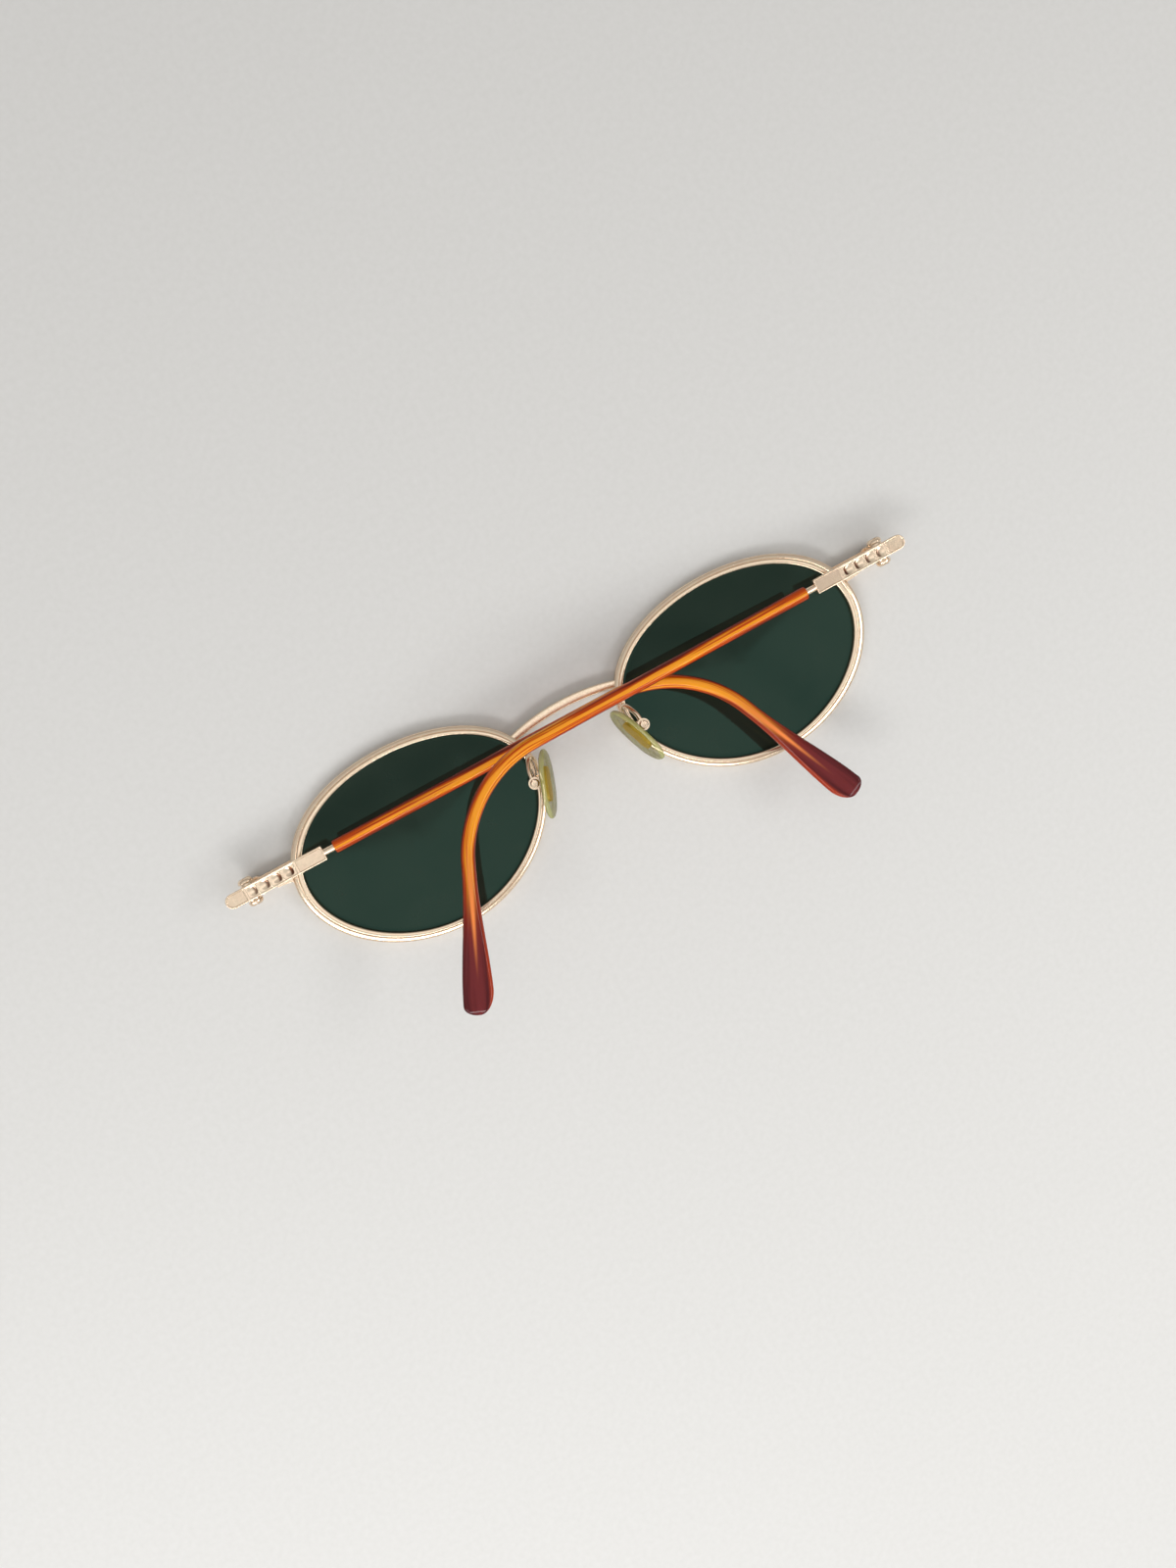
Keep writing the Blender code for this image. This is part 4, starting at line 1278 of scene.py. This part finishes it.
    def plate_lengths(self) -> list[float]:
        """List where the plate's rings stand, closer together round its outer end.

        Returns:
            Distances out from the hinge.
        """
        half, count = self.plate_width / 2, self.plate_end_steps
        turn = self.plate_outer - half
        lengths = [
            self.plate_inner + (turn - self.plate_inner) * i / self.plate_steps
            for i in range(self.plate_steps)]
        end = half - self.plate_tail
        return lengths + [
            turn + end * math.sin(math.pi / 2 * i / count) for i in range(count + 1)]

    def build_plate(self) -> None:
        """Skin the plate with its ornamented face."""
        rings, painted_shades = [], []
        low, edge = self.plate_low, self.plate_edge
        for x in self.plate_lengths():
            half = self.half_width(x)
            ring, hollow = [], []
            for i in range(self.plate_points):
                y = half * (1 - 2 * i / (self.plate_points - 1))
                z, shade = self.plate_relief(x, y)
                ring.append((x, y, z))
                hollow.append(shade)
            inner = max(half - edge, half / 2)
            below = ((-half, low + edge), (-inner, low), (inner, low), (half, low + edge))
            ring += [(x, y, z) for y, z in below]
            hollow += [0.0] * len(below)
            rings.append(ring)
            painted_shades += hollow
        plate = new_piece(self.side.label + "_ornamented_plate", skin(rings))
        # Painted shade of the panels and scoops, read by the gold's finish.
        mark(plate.data, "hollow", painted_shades)
        put(plate.data, self.place())
        self.shop.fit(plate, self.body, Slot.GOLD, self.side.label + "_temple_plate")

    def build_ribs(self) -> None:
        """Set the curved ribs between the scoops."""
        half = self.plate_width / 2 - self.border
        rib = []
        for i in range(self.rib_steps + 1):
            share = 2 * i / self.rib_steps - 1
            rib.append((self.rib_bow * (1 - share * share), share * half, 0.0))
        ribs = new_piece(self.side.label + "_plate_ribs", path_mesh(rib))
        gold = self.shop.finishes[Slot.GOLD]
        grow(ribs, self.shop.wires, Radius=self.rib_radius, Sides=self.rib_sides, Finish=gold)
        top = self.plate_top - self.row_depth - self.rib_radius / 2
        grow(ribs, self.shop.ribs, Count=self.scoop_count - 1, Growth=self.rib_growth, Finish=gold,
             Start=(self.scoop_first + self.scoop_step / 2, 0.0, top),
             Step=(self.scoop_step, 0.0, 0.0))
        put(ribs.data, self.place())
        self.shop.fit(ribs, self.body, Slot.GOLD)

    def path(self, length: float) -> tuple[Vector, Vector]:
        """Follow the temple's centre line.

        Args:
            length: Distance from the hinge along the temple.

        Returns:
            The point there and the direction towards the brow.
        """
        bend = min(max(length - self.bend_start, 0.0) / self.bend_radius, self.bend_angle)
        past = max(length - self.bend_start - self.bend_radius * self.bend_angle, 0.0)
        along = Vector((-math.cos(bend), -math.sin(bend), 0.0))
        normal = Vector((-math.sin(bend), math.cos(bend), 0.0))
        x = -min(length, self.bend_start) - self.bend_radius * math.sin(bend)
        y = -self.bend_radius * (1 - math.cos(bend))
        return Vector((x, y, self.lift)) + along * past, normal

    def build_core(self) -> None:
        """Run the core wire from the plate into the sleeve's tip."""
        steps = self.core_steps
        span = self.core_end - self.core_start
        points = [self.path(self.core_start + span * i / steps)[0] for i in range(steps + 1)]
        core = new_piece(self.side.label + "_core_wire", path_mesh(points))
        grow(core, self.shop.wires, Radius=self.core_diameter / 2, Sides=self.core_sides,
             Finish=self.shop.finishes[Slot.GOLD])
        put(core.data, self.place())
        self.shop.fit(core, self.body, Slot.GOLD, self.side.label + "_temple_core")

    def sleeve_section(self, length: float) -> list[Span]:
        """Draw the sleeve's cross-section.

        Args:
            length: Distance from the hinge along the temple.

        Returns:
            Points across the temple and through its thickness.
        """
        left = self.length - length
        flare = smooth_step(1 - (left - self.tip_back_round) / self.tip_flare)
        half = (self.sleeve_width + (self.tip_width - self.sleeve_width) * flare) / 2
        thick = (self.sleeve_thickness + (self.tip_thickness - self.sleeve_thickness) * flare) / 2
        start = min((length - self.sleeve_start) / self.mouth_round, 1.0)
        shrink = 1 - self.mouth_shrink * (1 - math.sqrt(max(1 - (1 - start) ** 2, 0.0)))

        def rounding(size: float) -> float:
            """Round the tip's end over a length."""
            short = max(1 - left / size, 0.0)
            return math.sqrt(max(1 - short * short, 0.0))

        back, front = half * rounding(self.tip_back_round), half * rounding(self.tip_front_round)
        thick *= rounding(self.tip_end_round)
        shoulder = min(thick, back, front) * (1 - (1 - self.tip_shoulder) * flare)
        section = rounded_bar(back, front, thick, shoulder, self.shoulder_points)
        return [(across * shrink, up * shrink) for across, up in section]

    def sleeve_lengths(self) -> list[float]:
        """List where the sleeve's rings stand, closer together at both ends.

        Returns:
            Distances from the hinge along the temple.
        """
        bend_end = self.bend_start + self.bend_radius * self.bend_angle
        steps = self.mouth_steps
        lengths = [self.sleeve_start + self.mouth_round * (i / steps) ** 2 for i in range(steps + 1)]
        for low, high, count in (
            (self.sleeve_start, self.bend_start, self.bar_steps),
            (self.bend_start, bend_end, self.bend_steps),
        ):
            lengths += [low + (high - low) * i / count for i in range(1, count + 1)]
        ear, count = self.ear_length - self.end_gap, self.ear_steps
        lengths += [bend_end + ear * math.sin(0.5 * math.pi * i / count) for i in range(1, count + 1)]
        return lengths

    def build_sleeve(self) -> None:
        """Skin the sleeve: a slim bar, the bend behind the ear and the flat tip."""
        rings, straight = [], []
        for length in self.sleeve_lengths():
            point, normal = self.path(length)
            section = self.sleeve_section(length)
            width = max(across for across, _ in section) - min(across for across, _ in section)
            ring = []
            for across, up in section:
                ring.append(point + normal * across + Vector((0, 0, up)))
                straight += (length, 2 * across / width, 2 * across / self.sleeve_width)
            rings.append(ring)
        sleeve = new_piece(self.side.label + "_amber_sleeve", skin(rings))
        mark(sleeve.data, "straight", straight, "FLOAT_VECTOR")
        put(sleeve.data, self.place())
        self.shop.fit(sleeve, self.body, Slot.SLEEVE, self.side.label + "_temple_sleeve")

    def build(self) -> None:
        """Build the whole temple."""
        self.build_plate()
        self.build_ribs()
        self.build_core()
        self.build_sleeve()


@dataclass
class Studio:
    """The pale table, the soft light and the camera."""

    camera_place: tuple[float, float, float] = (-14.6 * MM, 25.25 * MM, 229.3 * MM)
    camera_tilt_x: float = math.radians(2.98)
    camera_tilt_y: float = math.radians(6.29)
    camera_roll: float = math.radians(28.23)
    camera_lens: float = 27.05
    floor_size: float = 4.0
    zenith: str = "#f4f4f3"
    horizon: str = "#bdb9b5"
    sky_axis: tuple[float, float, float] = (-0.1, -0.3, 0.95)
    sky_span: Span = (0.1, 0.95)
    world_strength: float = 0.72
    camera_clip: float = 10 * MM
    lamps: tuple[tuple[str, tuple[float, float, float], Span, float], ...] = (
        ("window", (-0.36, -0.39, 0.47), (0.8, 0.16), 3.0),
        ("ceiling_panel", (0.0, 0.05, 3.0), (2.4, 0.6), 2.8),
        ("side_window", (0.38, -0.28, 0.43), (0.6, 0.12), 1.2))

    def build_floor(self) -> None:
        """Lay the pale table top."""
        half = self.floor_size / 2
        corners = [(-half, -half, 0), (half, -half, 0), (half, half, 0), (-half, half, 0)]
        mesh = bpy.data.meshes.new("table_top")
        mesh.from_pydata(corners, [], [(0, 1, 2, 3)])
        floor = new_piece("table_top", mesh)
        mesh.materials.append(TableTop().material())

    def build_world(self) -> None:
        """Make a soft room that is lighter overhead than at the horizon."""
        world = bpy.data.worlds.new("soft_room")
        world.use_nodes = True
        tree = world.node_tree
        where = add_node(tree, "ShaderNodeTexCoord").outputs["Generated"]
        height = add_node(tree, "ShaderNodeVectorMath", {
            0: where, 1: self.sky_axis}, operation="DOT_PRODUCT")
        ease = add_node(tree, "ShaderNodeMapRange", {
            "Value": height.outputs["Value"],
            "From Min": self.sky_span[0], "From Max": self.sky_span[1]})
        sky = add_node(tree, "ShaderNodeMix", {
            FACTOR: ease.outputs["Result"], BELOW: linear(self.horizon), ABOVE: linear(self.zenith)},
            data_type="RGBA")
        feed(tree, tree.nodes["Background"], {
            "Color": sky.outputs[MIXED], "Strength": self.world_strength})
        bpy.context.scene.world = world

    def build_lamp(self, name: str, place: Vector, size: tuple[float, float], power: float) -> None:
        """Hang a soft lamp that faces the middle of the table.

        Args:
            name: The lamp's name.
            place: Where it hangs.
            size: Its width and height.
            power: Its power in watts.
        """
        data = bpy.data.lights.new(name, "AREA")
        data.shape = "RECTANGLE"
        data.size, data.size_y = size
        data.energy = power
        lamp = bpy.data.objects.new(name, data)
        lamp.location = place
        lamp.rotation_mode = "QUATERNION"
        lamp.rotation_quaternion = (-place).to_track_quat("-Z", "Y")
        bpy.context.scene.collection.objects.link(lamp)

    def build_camera(self) -> None:
        """Set the camera at the photograph's viewing angle."""
        sin_x, cos_x = math.sin(self.camera_tilt_x), math.cos(self.camera_tilt_x)
        sin_y, cos_y = math.sin(self.camera_tilt_y), math.cos(self.camera_tilt_y)
        across = Vector((cos_x, 0.0, sin_x))
        along = Vector((sin_y * sin_x, cos_y, -sin_y * cos_x))
        back = Vector((-cos_y * sin_x, sin_y, cos_y * cos_x))
        sine, cosine = math.sin(self.camera_roll), math.cos(self.camera_roll)
        right = across * cosine - along * sine
        up = across * sine + along * cosine
        turn = Matrix((right, up, back)).transposed().to_4x4()
        data = bpy.data.cameras.new("photo_view")
        data.lens = self.camera_lens
        data.clip_start = self.camera_clip
        camera = bpy.data.objects.new("photo_view", data)
        camera.matrix_world = Matrix.Translation(self.camera_place) @ turn
        bpy.context.scene.collection.objects.link(camera)
        bpy.context.scene.camera = camera

    def build(self) -> None:
        """Set up the whole studio."""
        self.build_floor()
        self.build_world()
        for name, place, size, power in self.lamps:
            self.build_lamp(name, Vector(place), size, power)
        self.build_camera()
        bpy.context.scene.view_settings.view_transform = "Standard"


def main() -> None:
    """Build the sunglasses piece by piece and set up the studio."""
    logging.basicConfig(level=logging.INFO, format="%(name)s: %(message)s")
    shop = Workshop()
    front = Front(shop)
    front.build()
    Hinges(shop).build()
    NosePads(shop, front).build()
    for side in Side:
        Temple(shop, side).build()
    Studio().build()


if __name__ == "__main__":
    main()
